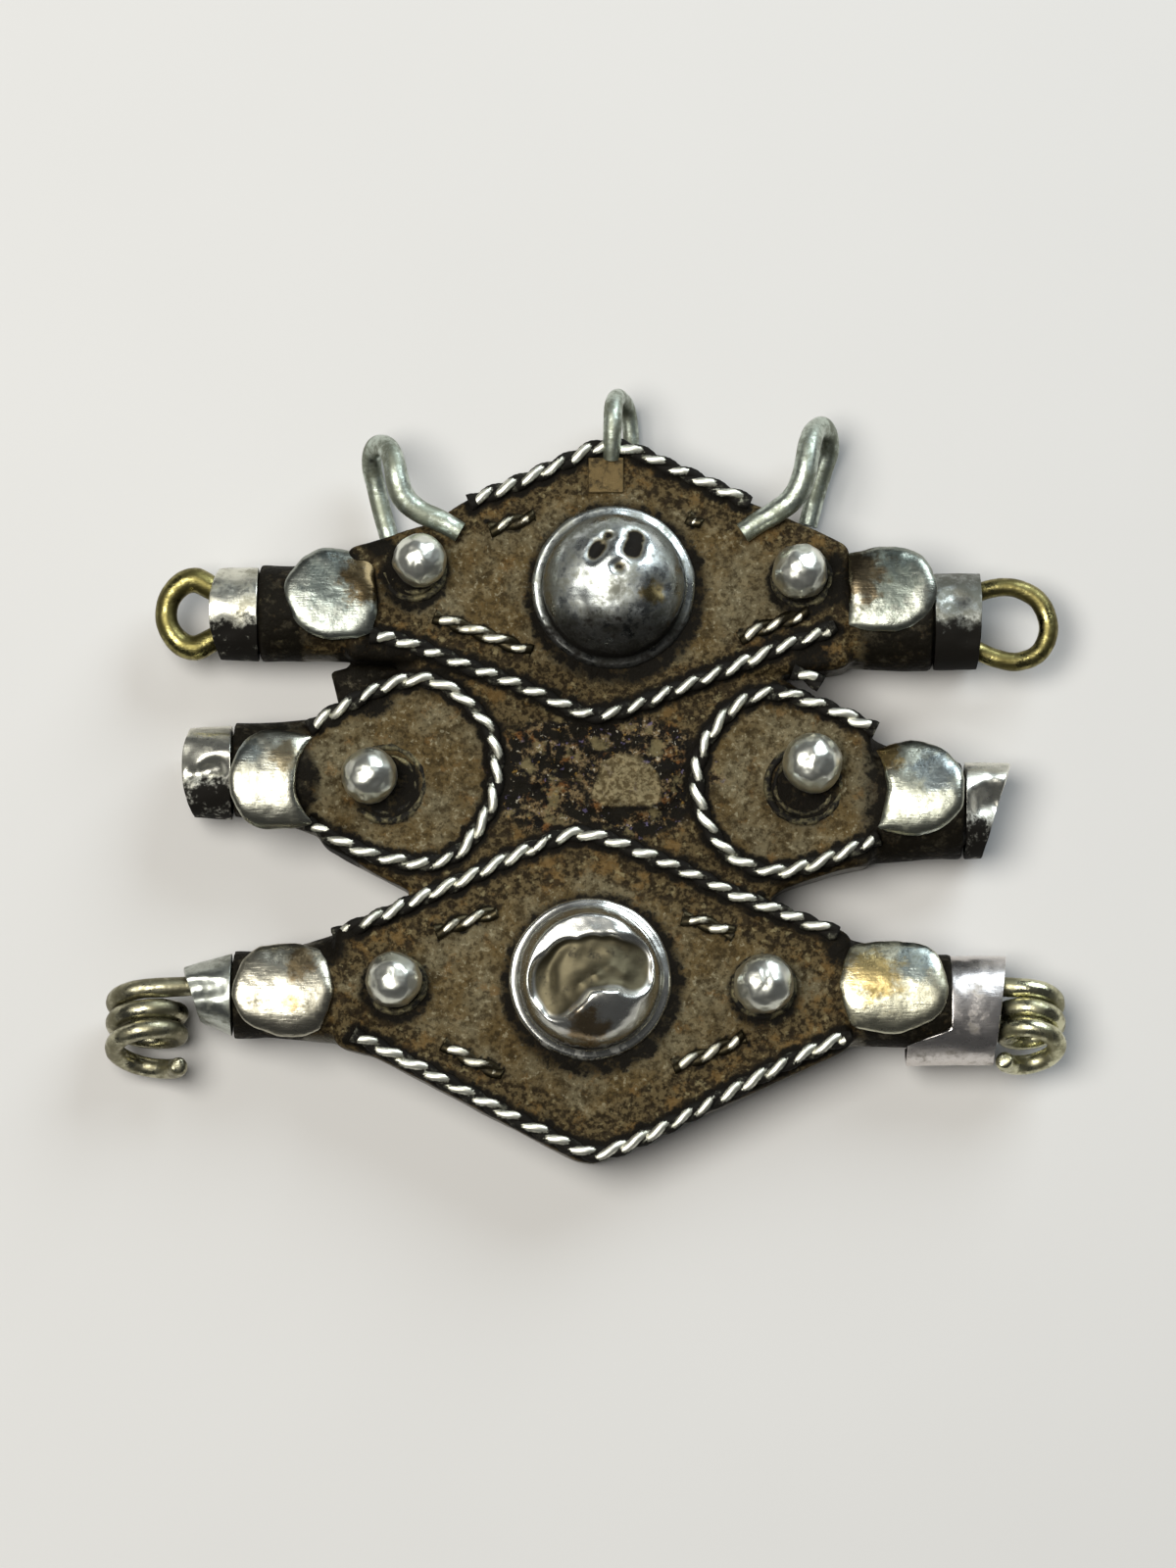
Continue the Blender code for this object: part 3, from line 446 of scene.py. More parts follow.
# The tarnished ground of the fields, the crust in the middle, and the darker band along the edges
GROUND = (0.072, 0.049, 0.019)
GROUND_LAYERS = (
    Layer("broad", 0.38, 0.62, 1, (0.098, 0.081, 0.046)),
    Layer("middling", 0.5, 0.66, 0.7, (0.15, 0.12, 0.066)),
    Layer("middling", 0.49, 0.36, 0.8, (0.028, 0.019, 0.007)),
    Layer("rust", 0.56, 0.66, 0.5, (0.115, 0.062, 0.018)),
    Layer("grit", 0.5, 0.36, 0.7, (0.022, 0.015, 0.006)),
    Layer("grit", 0.58, 0.68, 0.5, (0.26, 0.23, 0.15)),
)
CRUST = (0.01, 0.007, 0.004)
CRUST_LAYERS = (
    Layer("grit", 0.42, 0.58, 1, (0.12, 0.085, 0.042)),
    Layer("rust", 0.52, 0.64, 0.65, (0.125, 0.052, 0.014)),
    Layer("middling", 0.53, 0.46, 1, (0.005, 0.004, 0.003)),
    Layer("hollows", 0.5, 0.43, 1, (0.006, 0.005, 0.003)),
    Layer("hollows", 0.54, 0.66, 0.75, (0.135, 0.108, 0.052)),
    Layer("grit", 0.63, 0.7, 0.6, (0.42, 0.38, 0.29)),
    Layer("spots", 0.64, 0.68, 0.5, (0.11, 0.09, 0.17)),
    Layer("spots", 0.36, 0.31, 0.5, (0.24, 0.14, 0.03)),
)
BAND = (0.015, 0.01, 0.004)
BAND_LAYERS = (
    Layer("grit", 0.4, 0.6, 1, (0.078, 0.057, 0.026)),
    Layer("rust", 0.52, 0.64, 0.6, (0.13, 0.078, 0.026)),
    Layer("middling", 0.5, 0.38, 0.8, (0.012, 0.008, 0.004)),
    Layer("spots", 0.58, 0.7, 0.6, (0.2, 0.165, 0.085)),
)
SCAR_COLOURS = ((0.07, 0.052, 0.024), (0.19, 0.155, 0.085))
BARE_TINT = (0.2, 0.19, 0.16)


def layered(tree, clouds, colour, layers):
    """A colour with layers over it, each where its cloud goes from start to end."""
    for layer in layers:
        share = ramp(tree, clouds[layer.cloud], layer.start, layer.end, 0, layer.share)
        colour = mixed(tree, share, colour, layer.colour)
    return colour


def ragged(tree, value, noise, strength):
    """A value raised and lowered by noise, so that its edge is ragged."""
    return maths(tree, "ADD", value, maths(tree, "MULTIPLY_ADD", noise, strength, -strength / 2))


material, tree, place, shader = new_material("tarnished_sheet")
clouds = {name: cloud(tree, place, *kind) for name, kind in SHEET_CLOUDS.items()}
masks = {name: attribute(tree, name) for name in SHEET_MARKS}
field = ramp(tree, ragged(tree, masks["field"], clouds["middling"], 2.0), 0.2, 0.8)
crusty = ramp(tree, ragged(tree, masks["crust"], clouds["middling"], 1.2), 0.25, 0.6)
scarred = ramp(tree, ragged(tree, masks["scar"], clouds["hollows"], 1.6), 0.35, 0.9, 0, 0.85)
# The sheet turns black round what is soldered to it and on the arms: soot, and painted shadow round the
# bosses, balls, discs and ropes
soot = ragged(tree, ragged(tree, masks["soot"], clouds["middling"], 2.0), clouds["grit"], 1.0)
soot = ramp(tree, soot, 0.25, 0.85)
ground = layered(tree, clouds, GROUND, GROUND_LAYERS)
colour = mixed(tree, field, layered(tree, clouds, BAND, BAND_LAYERS), ground)
colour = mixed(tree, crusty, colour, layered(tree, clouds, CRUST, CRUST_LAYERS))
colour = mixed(tree, scarred, colour, mixed(tree, ramp(tree, clouds["grit"], 0.4, 0.6), *SCAR_COLOURS))
colour = mixed(tree, soot, colour, BLACK_DIRT_AND_SHADE)
worn = silver_in(tree, place, 0.1, 0.58, BARE_TINT)
sides = ramp(tree, place_along(tree, place, "Z"), 4.7, 4.0)
bare = maths(tree, "MAXIMUM", sides, maths(tree, "MULTIPLY", masks["arm"], 0.6))
bare = maths(tree, "MULTIPLY", bare, maths(tree, "MULTIPLY_ADD", soot, -0.95, 1))
feed(tree, shader.inputs["Base Color"], mixed(tree, bare, colour, worn["Colour"]))
feed(tree, shader.inputs["Metallic"], ramp(tree, bare, 0, 1, 0.12, 0.95))
feed(tree, shader.inputs["Roughness"], ramp(tree, bare, 0, 1, 0.62, 0.4))
shader.inputs["Specular IOR Level"].default_value = 0.05
rises = maths(tree, "ADD", clouds["middling"], maths(tree, "MULTIPLY", clouds["grit"], 0.45))
relief(tree, shader, rises, 0.16)
belong([body], material)
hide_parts("body")

# Twisted wires: two silver wires twisted together and soldered down as borders, one along each edge of the
# rows and one round each drop. Their crests are worn bright and dirt fills the grooves. The inner lozenges
# are the same wire, worn away or buried but for a few short stretches.

STRAND = 0.36
STRAND_SIDES = 9
STRAND_OFF_AXIS = 0.2
TWIST_PITCH = 3.44
STEPS_A_TWIST = 28
WIRE_SEAT = 0.24
BORDERS = {
    "upper_top_border": (
        (-7.4, 17.6), (-4, 19), (-0.9, 20.4), (1.1, 21.25), (1.9, 21.3), (5.8, 19.75), (10.6, 17.6),
    ),
    "upper_bottom_border": (
        (-13.7, 9.05), (-12, 8.75), (-10.2, 8.15), (-7.2, 6.95), (-4, 5.75), (-1, 4.4), (0.3, 3.95),
        (1.6, 4.05), (3.9, 4.8), (6.3, 5.75), (9.6, 7.05), (12.8, 8.4), (14.6, 8.95), (16, 9.65),
    ),
    "left_drop_border": (
        (-17.6, 3.15), (-15, 4.7), (-13.3, 5.55), (-11.6, 6.15), (-9.9, 6.2), (-8.3, 5.45), (-7, 4.25),
        (-6, 2.9), (-5.65, 1.3), (-5.65, -0.1), (-6, -1.8), (-6.8, -3.3), (-7.9, -4.7), (-9.7, -5.5),
        (-11.7, -5.4), (-14.8, -4.5), (-17.6, -2.9),
    ),
    "right_drop_border": (
        (18.6, 3), (16.7, 3.9), (14.8, 4.7), (13.1, 5.25), (11.5, 5.35), (9.8, 4.65), (8.6, 3.5),
        (7.6, 2), (7.15, 0.4), (7.25, -1.4), (7.8, -3), (8.8, -4.5), (10.2, -5.55), (11.9, -6.05),
        (13.8, -5.8), (17.4, -4.5), (18.7, -3.9),
    ),
    "lower_top_border": (
        (-15.9, -10.1), (-13.9, -9.35), (-10.5, -7.8), (-7.4, -6.45), (-4, -4.85), (-2.2, -4.1),
        (-0.7, -3.65), (0.9, -3.85), (4.2, -5.1), (6.8, -6.2), (9.5, -7.5), (12.9, -8.8), (16.1, -10.05),
    ),
    "lower_bottom_border": (
        (-14.7, -16.4), (-11.4, -18.1), (-8.3, -19.7), (-5.3, -21.3), (-2.1, -22.95), (-0.6, -23.65),
        (0.5, -24), (1.6, -23.85), (2.9, -23.35), (6, -21.85), (9.1, -20.2), (12.1, -18.6), (15.1, -17.2),
        (16.9, -16.5),
    ),
    "stray_wire_end": ((13.3, 6.75), (14.3, 6.4), (15.1, 5.9)),
}
WORN_WIRES = {
    "upper_left_high": ((-6.1, 15.85, 0.12), (-4.7, 16.3, 0.12), (-3.2, 16.75, 0.06)),
    "upper_left_low": ((-9.6, 10.3, 0.02), (-7.6, 9.55, 0.16), (-5.4, 8.75, 0.18), (-3.4, 8, 0.02)),
    "upper_right_high": ((6.6, 16.7, 0.02), (7.5, 16.2, 0.06)),
    "upper_right_low": ((9.9, 8.85, 0.02), (10.7, 9.25, 0.1), (14.3, 10.5, 0.06)),
    "lower_left_high": ((-9.5, -9.95, 0.14), (-8.3, -9.5, 0.14), (-7, -9, 0.12), (-5.6, -8.6, 0.04)),
    "lower_right_high": ((6.2, -9, 0.1), (7.6, -9.35, 0.14), (9.5, -10.05, 0.06)),
    "lower_left_low": ((-9, -17, 0.02), (-7.3, -18, 0.08), (-5.2, -18.95, 0.06)),
    "lower_right_low": ((5.6, -18.45, 0.06), (7.6, -17.75, 0.12), (10.2, -16.6, 0.08)),
}
WORN_SINK = -0.22
WORN_RISE = 1.6
# How near its cut ends the twist's crests wear off, and the heights on it between which the dirt thins out
CREST_END = (0.1, 0.6)
GROOVE = (0.48, 0.84)
scene = bpy.context.scene


def height_at(x, y):
    """Height of the front sheet under a place on it, in millimetres."""
    found, spot, _, _ = body.ray_cast(Vector((x, y, 20)) * MM, Vector((0, 0, -1)))
    return spot.z / MM if found else 5.0


def faded(distance, near, far):
    """1 up to the near distance, 0 from the far one on."""
    share = max(0.0, min(1.0, (far - distance) / (far - near)))
    return share * share * (3 - 2 * share)


def line_through(name, spots):
    """A smooth curve through places given in millimetres."""
    curve = bpy.data.curves.new(name, "CURVE")
    curve.dimensions = "3D"
    curve.resolution_u = 16
    curve.twist_mode = "Z_UP"
    spline = curve.splines.new("BEZIER")
    spline.bezier_points.add(len(spots) - 1)
    for point, spot in zip(spline.bezier_points, spots):
        point.co = Vector(spot) * MM
        point.handle_left_type = point.handle_right_type = "AUTO"
    line = bpy.data.objects.new(name, curve)
    scene.collection.objects.link(line)
    return line, spline.calc_length() / MM


def twisted_wire(name, spots):
    """Two strands twisted along X, capped, then bent along their line."""
    line, length = line_through(name + "_line", spots)
    strands = [
        added(
            "strand", bpy.ops.mesh.primitive_circle_add, vertices=STRAND_SIDES, radius=STRAND * MM,
            location=(0, side * STRAND_OFF_AXIS * MM, 0), rotation=(0, math.pi / 2, 0),
        )
        for side in (-1, 1)
    ]
    rope = joined(strands, name)
    twists = length / TWIST_PITCH
    steps = max(6, round(twists * STEPS_A_TWIST))
    finish_with(
        rope, "SCREW", axis="X", angle=-2 * math.pi * twists, screw_offset=length * MM,
        steps=steps, render_steps=steps, use_merge_vertices=False,
    )
    edit_all()
    bpy.ops.mesh.fill_holes(sides=0)
    close_up()
    crest = rope.data.attributes.new("crest", "FLOAT", "POINT")
    for point, corner in zip(crest.data, rope.data.vertices):
        to_end = min(corner.co.x / MM, length - corner.co.x / MM)
        point.value = corner.co.z / (MM * (STRAND + STRAND_OFF_AXIS)) - 1.2 * faded(to_end, *CREST_END)
    finish_with(rope, "CURVE", object=line, deform_axis="POS_X")
    bpy.data.objects.remove(line)
    bpy.ops.object.shade_smooth()
    return rope


wires = []
for name, spots in BORDERS.items():
    wires.append(twisted_wire(name, [(x, y, height_at(x, y) + WIRE_SEAT) for x, y in spots]))
for name, spots in WORN_WIRES.items():
    spots = [(x, y, height_at(x, y) + WORN_SINK + WORN_RISE * lift) for x, y, lift in spots]
    wires.append(twisted_wire(name + "_worn_wire", spots))


def dress(tree, shader, worn, depth):
    """Gives the main shader what worn silver gives, with relief of this depth in millimetres."""
    for mine, its in (("Base Color", "Colour"), ("Roughness", "Roughness"), ("Metallic", "Metallic")):
        feed(tree, shader.inputs[mine], worn[its])
    shader.inputs["Specular IOR Level"].default_value = 0.2
    relief(tree, shader, worn["Height"], depth)


def wire_silver(name, polish, wear, deep, groove, tint):
    """Worn silver with bright crests, and grime of this depth and colour in grooves that wear opens."""
    material, tree, place, shader = new_material(name)
    stretch = cloud(tree, place, 2.2, 5, 0.7)
    crest = maths(tree, "MULTIPLY_ADD", stretch, -1.5, maths(tree, "ADD", attribute(tree, "crest"), wear))
    grime = ramp(tree, crest, *GROOVE, 1.0, 0.0)
    tint = mixed(tree, grime, tint, groove)
    worn = silver_in(tree, place, polish, maths(tree, "MULTIPLY", grime, deep), tint, 0.22)
    dress(tree, shader, worn, 0.03)
    return material


border_silver = wire_silver("border_wire_silver", 0.8, 0.72, 1.0, (0.3, 0.3, 0.24), (1.0, 1.0, 0.92))
buried_silver = wire_silver("buried_wire_silver", 0.6, 0.66, 0.5, (0.055, 0.046, 0.028), (0.95, 0.92, 0.8))
for wire in wires:
    belong([wire], buried_silver if "worn" in wire.name else border_silver)

# Bosses: two large hollow domes pressed from sheet, each with a narrow flared rim that is soldered to the
# row. The upper one has small pits in it, and the lower one is crushed in to a deep crater with folds in it.

# Places on a boss and the crater's sizes are shares of its radius, the rest is in millimetres, and a fold's
# depth is below 0
Dent = namedtuple("Dent", "across up depth size")
Boss = namedtuple("Boss", "x y radius height dents crater shelf soften")
BOSS_SEGMENTS = 160
# The flange's steps: how far out in radii, and down in millimetres
FLANGE = ((1.01, -0.28), (1.03, -0.16), (1.09, -0.02), (1.135, -0.1), (1.15, -0.35), (1.15, -0.6))
CRATER_BLEND = 4.5
BOSS_LIFT = 0.95
BOSS_SEAT = 1.2
BOSS_DINGS = (1.8, 0.14)
SHELF_SIDE = (-0.55, 0.1)
SHELF_OUTER = (0.86, 0.97)
SHELF_INNER = (-0.62, -0.42)
SHELF_HEIGHT = 0.7
SHELF_SLOPE = 0.29
BOSSES = {
    "upper_boss": Boss(1.84, 12.16, 4.56, 3.45, (
        Dent(0.31, 0.62, 0.42, 1.15), Dent(0.27, 0.44, 0.48, 1.1),
        Dent(-0.19, 0.48, 0.42, 0.95), Dent(-0.28, 0.36, 0.34, 0.85),
        Dent(-0.07, 0.64, 0.34, 0.6), Dent(0.08, 0.2, 0.26, 0.75),
        Dent(0.62, -0.1, 0.25, 1.1), Dent(-0.45, -0.3, 0.14, 1.5),
        Dent(0.05, -0.12, 0.16, 2.2), Dent(-0.35, -0.55, 0.12, 1.2),
    ), (), None, 6),
    "lower_boss": Boss(0.34, -12.9, 4.52, 3.45, (
        Dent(0.12, -0.62, 0.3, 1.5),
    ), (
        Dent(-0.42, -0.08, 1, 0.45), Dent(-0.24, 0.1, 1.1, 0.43), Dent(0.04, 0.18, 1.25, 0.4),
        Dent(0.28, 0.18, 0.95, 0.4), Dent(0.52, 0.18, 1.05, 0.36), Dent(0.6, 0, 0.85, 0.28),
        Dent(-0.46, -0.38, 0.8, 0.24), Dent(0.08, 0.02, -0.45, 0.3), Dent(0.28, 0.14, -0.3, 0.26),
        Dent(-0.14, -0.1, -0.35, 0.26), Dent(0.5, 0.04, -0.3, 0.22),
    ), (-0.55, 0.835), 30),
}


def crushed(boss, centre, spec):
    """Sinks the dome into a crater of rounded lobes that run into each other, with folds standing up in it.
    On the side that shelf points to, the dome is beaten nearly level round the crater."""
    for corner in boss.data.vertices:
        across, up = [(corner.co[i] - centre[i]) / (MM * spec.radius) for i in (0, 1)]
        reach = math.hypot(across, up)
        if spec.shelf and corner.co.z > centre.z + 0.2 * MM:
            toward = (across * spec.shelf[0] + up * spec.shelf[1]) / max(reach, 0.01)
            share = faded(-toward, *SHELF_SIDE) * faded(reach, *SHELF_OUTER) * faded(-reach, *SHELF_INNER)
            level = centre.z + spec.height * (SHELF_HEIGHT - SHELF_SLOPE * (reach - 0.6)) * MM
            corner.co.z += share * (level - corner.co.z)
        deep = fold = 0
        for lobe in spec.crater:
            away = math.hypot(across - lobe.across, up - lobe.up) / lobe.size
            if lobe.depth > 0:
                deep += (lobe.depth * math.sqrt(max(0, 1 - away**2))) ** CRATER_BLEND
            else:
                fold += lobe.depth * max(0, 1 - away) ** 2
        corner.co.z -= (deep ** (1 / CRATER_BLEND) + fold) * MM


def pressed_boss(name, spec):
    """A dome with a flange, dented and crushed. It keeps how far each place has sunk."""
    seat = height_at(spec.x, spec.y - BOSS_SEAT * spec.radius)
    centre = Vector((spec.x, spec.y, seat + BOSS_LIFT)) * MM
    boss = added(
        name, bpy.ops.mesh.primitive_uv_sphere_add, segments=BOSS_SEGMENTS, ring_count=BOSS_SEGMENTS,
        radius=spec.radius * MM, location=centre,
    )
    edit_all()
    bpy.ops.mesh.bisect(plane_co=centre, plane_no=(0, 0, 1), clear_inner=True)
    bpy.ops.mesh.select_all(action="SELECT")
    bpy.ops.transform.resize(value=(1, 1, spec.height / spec.radius), center_override=centre)
    bpy.ops.mesh.select_all(action="DESELECT")
    bpy.ops.mesh.select_non_manifold()
    wide = 1.0
    for reach, drop in FLANGE:
        bpy.ops.mesh.extrude_edges_move(TRANSFORM_OT_translate={"value": (0, 0, drop * MM)})
        bpy.ops.transform.resize(value=(reach / wide, reach / wide, 1), center_override=centre)
        wide = reach
    bpy.ops.mesh.edge_face_add()
    close_up()
    before = [corner.co.z for corner in boss.data.vertices]
    for dent in spec.dents:
        reach = math.sqrt(max(0, 1 - dent.across**2 - dent.up**2))
        spot = centre + Vector((dent.across * spec.radius, dent.up * spec.radius, reach * spec.height)) * MM
        pushed_in(boss, spot, dent.depth, dent.size)
    crushed(boss, centre, spec)
    after = [corner.co.z for corner in boss.data.vertices]
    top = boss.vertex_groups.new(name="top")
    for corner in boss.data.vertices:
        reach = (corner.co - centre).xy.length / (MM * spec.radius)
        top.add([corner.index], faded(reach, 0.88, 0.97), "REPLACE")
    finish_with(boss, "SMOOTH", factor=0.5, iterations=spec.soften, vertex_group="top")
    sunk = boss.data.attributes.new("sunk", "FLOAT", "POINT")
    for point, old, new in zip(sunk.data, before, after):
        point.value = (old - new) / MM
    uneven(boss, name + "_dings", *BOSS_DINGS)
    bpy.ops.object.shade_smooth()
    return boss


def mark_at(tree, place, x, y, radius):
    """1 round a place on the front, given in millimetres, and 0 outside a ragged edge."""
    across = maths(tree, "SUBTRACT", place_along(tree, place, "X"), x)
    up = maths(tree, "SUBTRACT", place_along(tree, place, "Y"), y)
    away = maths(tree, "SQRT", maths(tree, "MULTIPLY_ADD", across, across, maths(tree, "MULTIPLY", up, up)))
    away = maths(tree, "MULTIPLY_ADD", cloud(tree, place, 0.9, 6, 0.7), 2.4 * radius, away)
    return ramp(tree, away, 1.7 * radius, 2.3 * radius, 1.0, 0.0)


bosses = [pressed_boss(name, spec) for name, spec in BOSSES.items()]
Skin = namedtuple("Skin", "polish dirt foot deep pit hollow satin shade dark stain tint")
Stain = namedtuple("Stain", "x y radius colour")
# Each boss's skin: its polish, its dirt, how dark it grows low on the dome, the sinking that counts as deep,
# the dirt in its pits, the tint of its hollows, its satin, the Ys between which its lower side is painted
# darker with shade, how far that painted shade tints it towards SHADED, its stain and its tint
SKINS = (
    Skin(
        0.45, 0.2, 0.75, 0.34, 0.9, (0.25, 0.22, 0.15), 0.04, (11.7, 9.2), 0.95,
        Stain(4.3, 11.4, 0.9, (0.45, 0.36, 0.18)), (0.7, 0.75, 0.78),
    ),
    Skin(
        0.85, 0.08, 0.45, 0.9, 0.38, (0.105, 0.092, 0.06), 0.04, (-14.5, -18.5), 0.45,
        Stain(0.2, -16.2, 1.5, (0.5, 0.38, 0.24)), (0.94, 0.95, 0.94),
    ),
)
# Low on each dome it grows darker, dirt and painted shade together: from the first pair's first height down
# to its second, and it fades out again from the second pair's second height down to its first, above the
# flange. SHADED is the colour of the painted shade on the bosses' lower sides
FOOT_DIRT_AND_SHADE = ((7.2, 6.3), (5.75, 5.95))
SHADED = (0.05, 0.05, 0.05)
for boss, skin in zip(bosses, SKINS):
    material, tree, place, shader = new_material(boss.name + "_silver")
    sunk = attribute(tree, "sunk")
    height = place_along(tree, place, "Z")
    # Painted shade: each boss grows darker low on its dome and towards its lower side, in its dirt and its
    # tint
    upper, lower = FOOT_DIRT_AND_SHADE
    foot = maths(tree, "MULTIPLY", ramp(tree, height, *upper, 0.0, skin.foot), ramp(tree, height, *lower))
    up = place_along(tree, place, "Y")
    dirt = maths(tree, "ADD", foot, ramp(tree, up, *skin.shade, skin.dirt, skin.dirt + 0.5))
    dirt = maths(tree, "ADD", dirt, ramp(tree, sunk, 0.3 * skin.deep, skin.deep, 0.0, skin.pit))
    hollow = ramp(tree, sunk, 0.25 * skin.deep, 0.75 * skin.deep)
    stain = mark_at(tree, place, skin.stain.x, skin.stain.y, skin.stain.radius)
    tint = mixed(tree, stain, mixed(tree, hollow, skin.tint, skin.hollow), skin.stain.colour)
    tint = mixed(tree, ramp(tree, up, *skin.shade, 0.0, skin.dark), tint, SHADED)
    satin = maths(tree, "MULTIPLY_ADD", hollow, 0.25, skin.satin)
    dress(tree, shader, silver_in(tree, place, skin.polish, dirt, tint, satin), 0.02)
    belong([boss], material)

# Grain: six silver balls, each melted from a scrap of silver until it drew up round, and soldered into a low
# ring on the sheet. Solder and dirt have filled the rings.

Ball = namedtuple("Ball", "x y radius seat_x seat_y seat")
BALLS = {
    "upper_left_ball": Ball(-10.5, 13.75, 1.7, -10.9, 13.3, 1.9),
    "upper_right_ball": Ball(13.74, 13, 1.76, 13.9, 12.8, 1.8),
    "middle_left_ball": Ball(-13.68, 0, 1.78, -12.6, -0.45, 2.35),
    "middle_right_ball": Ball(14.49, 0.76, 1.92, 14, -0.5, 2.35),
    "lower_left_ball": Ball(-12.12, -13.05, 1.78, -12, -13.2, 1.8),
    "lower_right_ball": Ball(11.37, -13.3, 1.9, 11.4, -13.4, 1.9),
}
BALL_REST = 0.72
BALL_DENTS = (1.1, 0.28)
# Each ring's share of the seat's radius, its thickness and its lift
SEAT_STEPS = ((1.0, 0.24, -0.08), (0.78, 0.16, -0.1))
SEAT_SLUMP = (1.0, 0.34)


def grain(name, spec):
    """A ball with a few soft dents."""
    height = height_at(spec.x, spec.y) + BALL_REST * spec.radius
    ball = added(
        name, bpy.ops.mesh.primitive_uv_sphere_add, segments=56, ring_count=36,
        radius=spec.radius * MM, location=Vector((spec.x, spec.y, height)) * MM,
    )
    bpy.ops.object.shade_smooth()
    uneven(ball, name + "_dents", *BALL_DENTS)
    return ball


def seat_ring(name, spec):
    """Low rings of solder, one inside the other, that a ball sits in."""
    height = height_at(spec.seat_x, spec.seat_y)
    rings = [
        added(
            "ring", bpy.ops.mesh.primitive_torus_add, major_segments=56, minor_segments=10,
            major_radius=spec.seat * reach * MM, minor_radius=thick * MM,
            location=Vector((spec.seat_x, spec.seat_y, height + lift)) * MM,
        )
        for reach, thick, lift in SEAT_STEPS
    ]
    seat = joined(rings, name)
    uneven(seat, name + "_slump", *SEAT_SLUMP)
    bpy.ops.object.shade_smooth()
    return seat


def silver_material(
    name, polish, dirt, tint=(1, 1, 1), satin=0.0, depth=0.06, foot=None, shade=None, stains=(),
):
    """Worn silver, tinted by stains. It darkens from one height to another, which foot gives, and from one Y
    to another, which shade gives."""
    material, tree, place, shader = new_material(name)
    for axis, limits in (("Z", foot), ("Y", shade)):
        if limits:
            dirt = maths(tree, "ADD", ramp(tree, place_along(tree, place, axis), *limits, 0.0, 0.8), dirt)
    for stain in stains:
        tint = mixed(tree, mark_at(tree, place, stain.x, stain.y, stain.radius), tint, stain.colour)
    dress(tree, shader, silver_in(tree, place, polish, dirt, tint, satin), depth)
    return material


balls = [grain(name, spec) for name, spec in BALLS.items()]
seats = [seat_ring(name.replace("ball", "seat"), spec) for name, spec in BALLS.items()]
# The balls darken from about their middles down to the sheet: painted shade on their lower sides
ball_silver = silver_material("ball_silver", 0.95, 0.08, (0.98, 1.0, 0.95), 0.1, 0.015, (6.5, 5.3))
seat_silver = silver_material("seat_silver", 0.0, 0.85, (0.55, 0.5, 0.33), 0.1)
belong(balls, ball_silver)
belong(seats, seat_silver)

# Cover discs: a hammered coin of silver bent over each neck to hide its joint, and soldered there. Its rim is
# worn uneven, and on the side towards the middle it draws in between two horns.

Disc = namedtuple("Disc", "x y half_width half_height lift lean inner horns crest fall")
DISCS = {
    "upper_left_disc": Disc(-16.11, 11.7, 3.06, 2.94, 6.24, 2, 0.95, 0.85, -2.3, 14),
    "upper_right_disc": Disc(19.51, 12, 2.97, 2.78, 6.3, -2, 0.92, 0.9, -2.3, 14),
    "middle_left_disc": Disc(-19.97, -0.25, 2.56, 3.22, 6.4, 2, 0.62, 1.05, -0.5, 8.5),
    "middle_right_disc": Disc(21.38, -0.75, 2.78, 3, 6.4, -2, 0.8, 1.02, -1.1, 6.5),
    "lower_left_disc": Disc(-19.13, -13.6, 3.28, 3.06, 6.08, 1, 0.98, 0.7, -0.7, 6),
    "lower_right_disc": Disc(19.66, -13.4, 3.5, 3.06, 6.24, -1, 0.98, 0.8, -0.8, 7.5),
}
DISC_THICKNESS = 0.45
DISC_BEND = 5.5
DISC_RAISE = 0.26
DISC_RINGS = 18
DISC_ROLL = 0.3
DISC_EDGE = 0.14
DISC_SATIN = 0.06
DISC_FOOT = (4.6, 3.6)
DISC_WEAR = {"X": (2.0, 0.45), "Y": (2.3, 0.45), "Z": (2.6, 0.12)}
# The inner side draws in between two horns: their width, and how short their corners are cut
HORN_RISE = 0.72
HORN_CUT = 0.28


def cover_disc(name, spec):
    """A disc bent over its crest, with the side towards the middle cut in between two horns."""
    disc = added(name, bpy.ops.mesh.primitive_circle_add, vertices=96, radius=MM, fill_type="NGON")
    edit_all()
    for _ in range(DISC_RINGS):
        bpy.ops.mesh.inset(thickness=MM / (DISC_RINGS + 1))
    bpy.ops.mesh.poke()
    bpy.ops.mesh.select_all(action="SELECT")
    bpy.ops.object.mode_set(mode="OBJECT")
    side = -math.copysign(1, spec.x)
    for corner in disc.data.vertices:
        u, v, _ = corner.co / MM
        reach = math.hypot(u, v)
        if side * u > 0:
            rise = min(1.0, v * v / HORN_RISE)
            rounded = min(1.0, math.sqrt(max(0.0, 1 - v * v) / HORN_CUT))
            u *= (spec.inner + (spec.horns - spec.inner) * rise) * rounded / math.sqrt(max(1 - v * v, 0.01))
        x, y = u * spec.half_width, v * spec.half_height
        bend = spec.fall if y > spec.crest else DISC_BEND
        drop = (y - spec.crest) ** 2 / (2 * bend)
        corner.co = Vector((x, y, DISC_RAISE - drop - DISC_ROLL * reach**12)) * MM
    turn = Matrix.Rotation(math.radians(spec.lean), 4, "Y")
    disc.matrix_world = Matrix.Translation(Vector((spec.x, spec.y, spec.lift)) * MM) @ turn
    take_up(disc)
    bpy.ops.object.transform_apply(location=True, rotation=True, scale=True)
    for axis, wear in DISC_WEAR.items():
        uneven(disc, name + "_rim_" + axis.lower(), *wear, direction=axis)
    finish_with(disc, "SOLIDIFY", thickness=DISC_THICKNESS * MM, offset=-1)
    round_edges(disc, DISC_EDGE, 3, 50)
    bpy.ops.object.shade_smooth()
    return disc


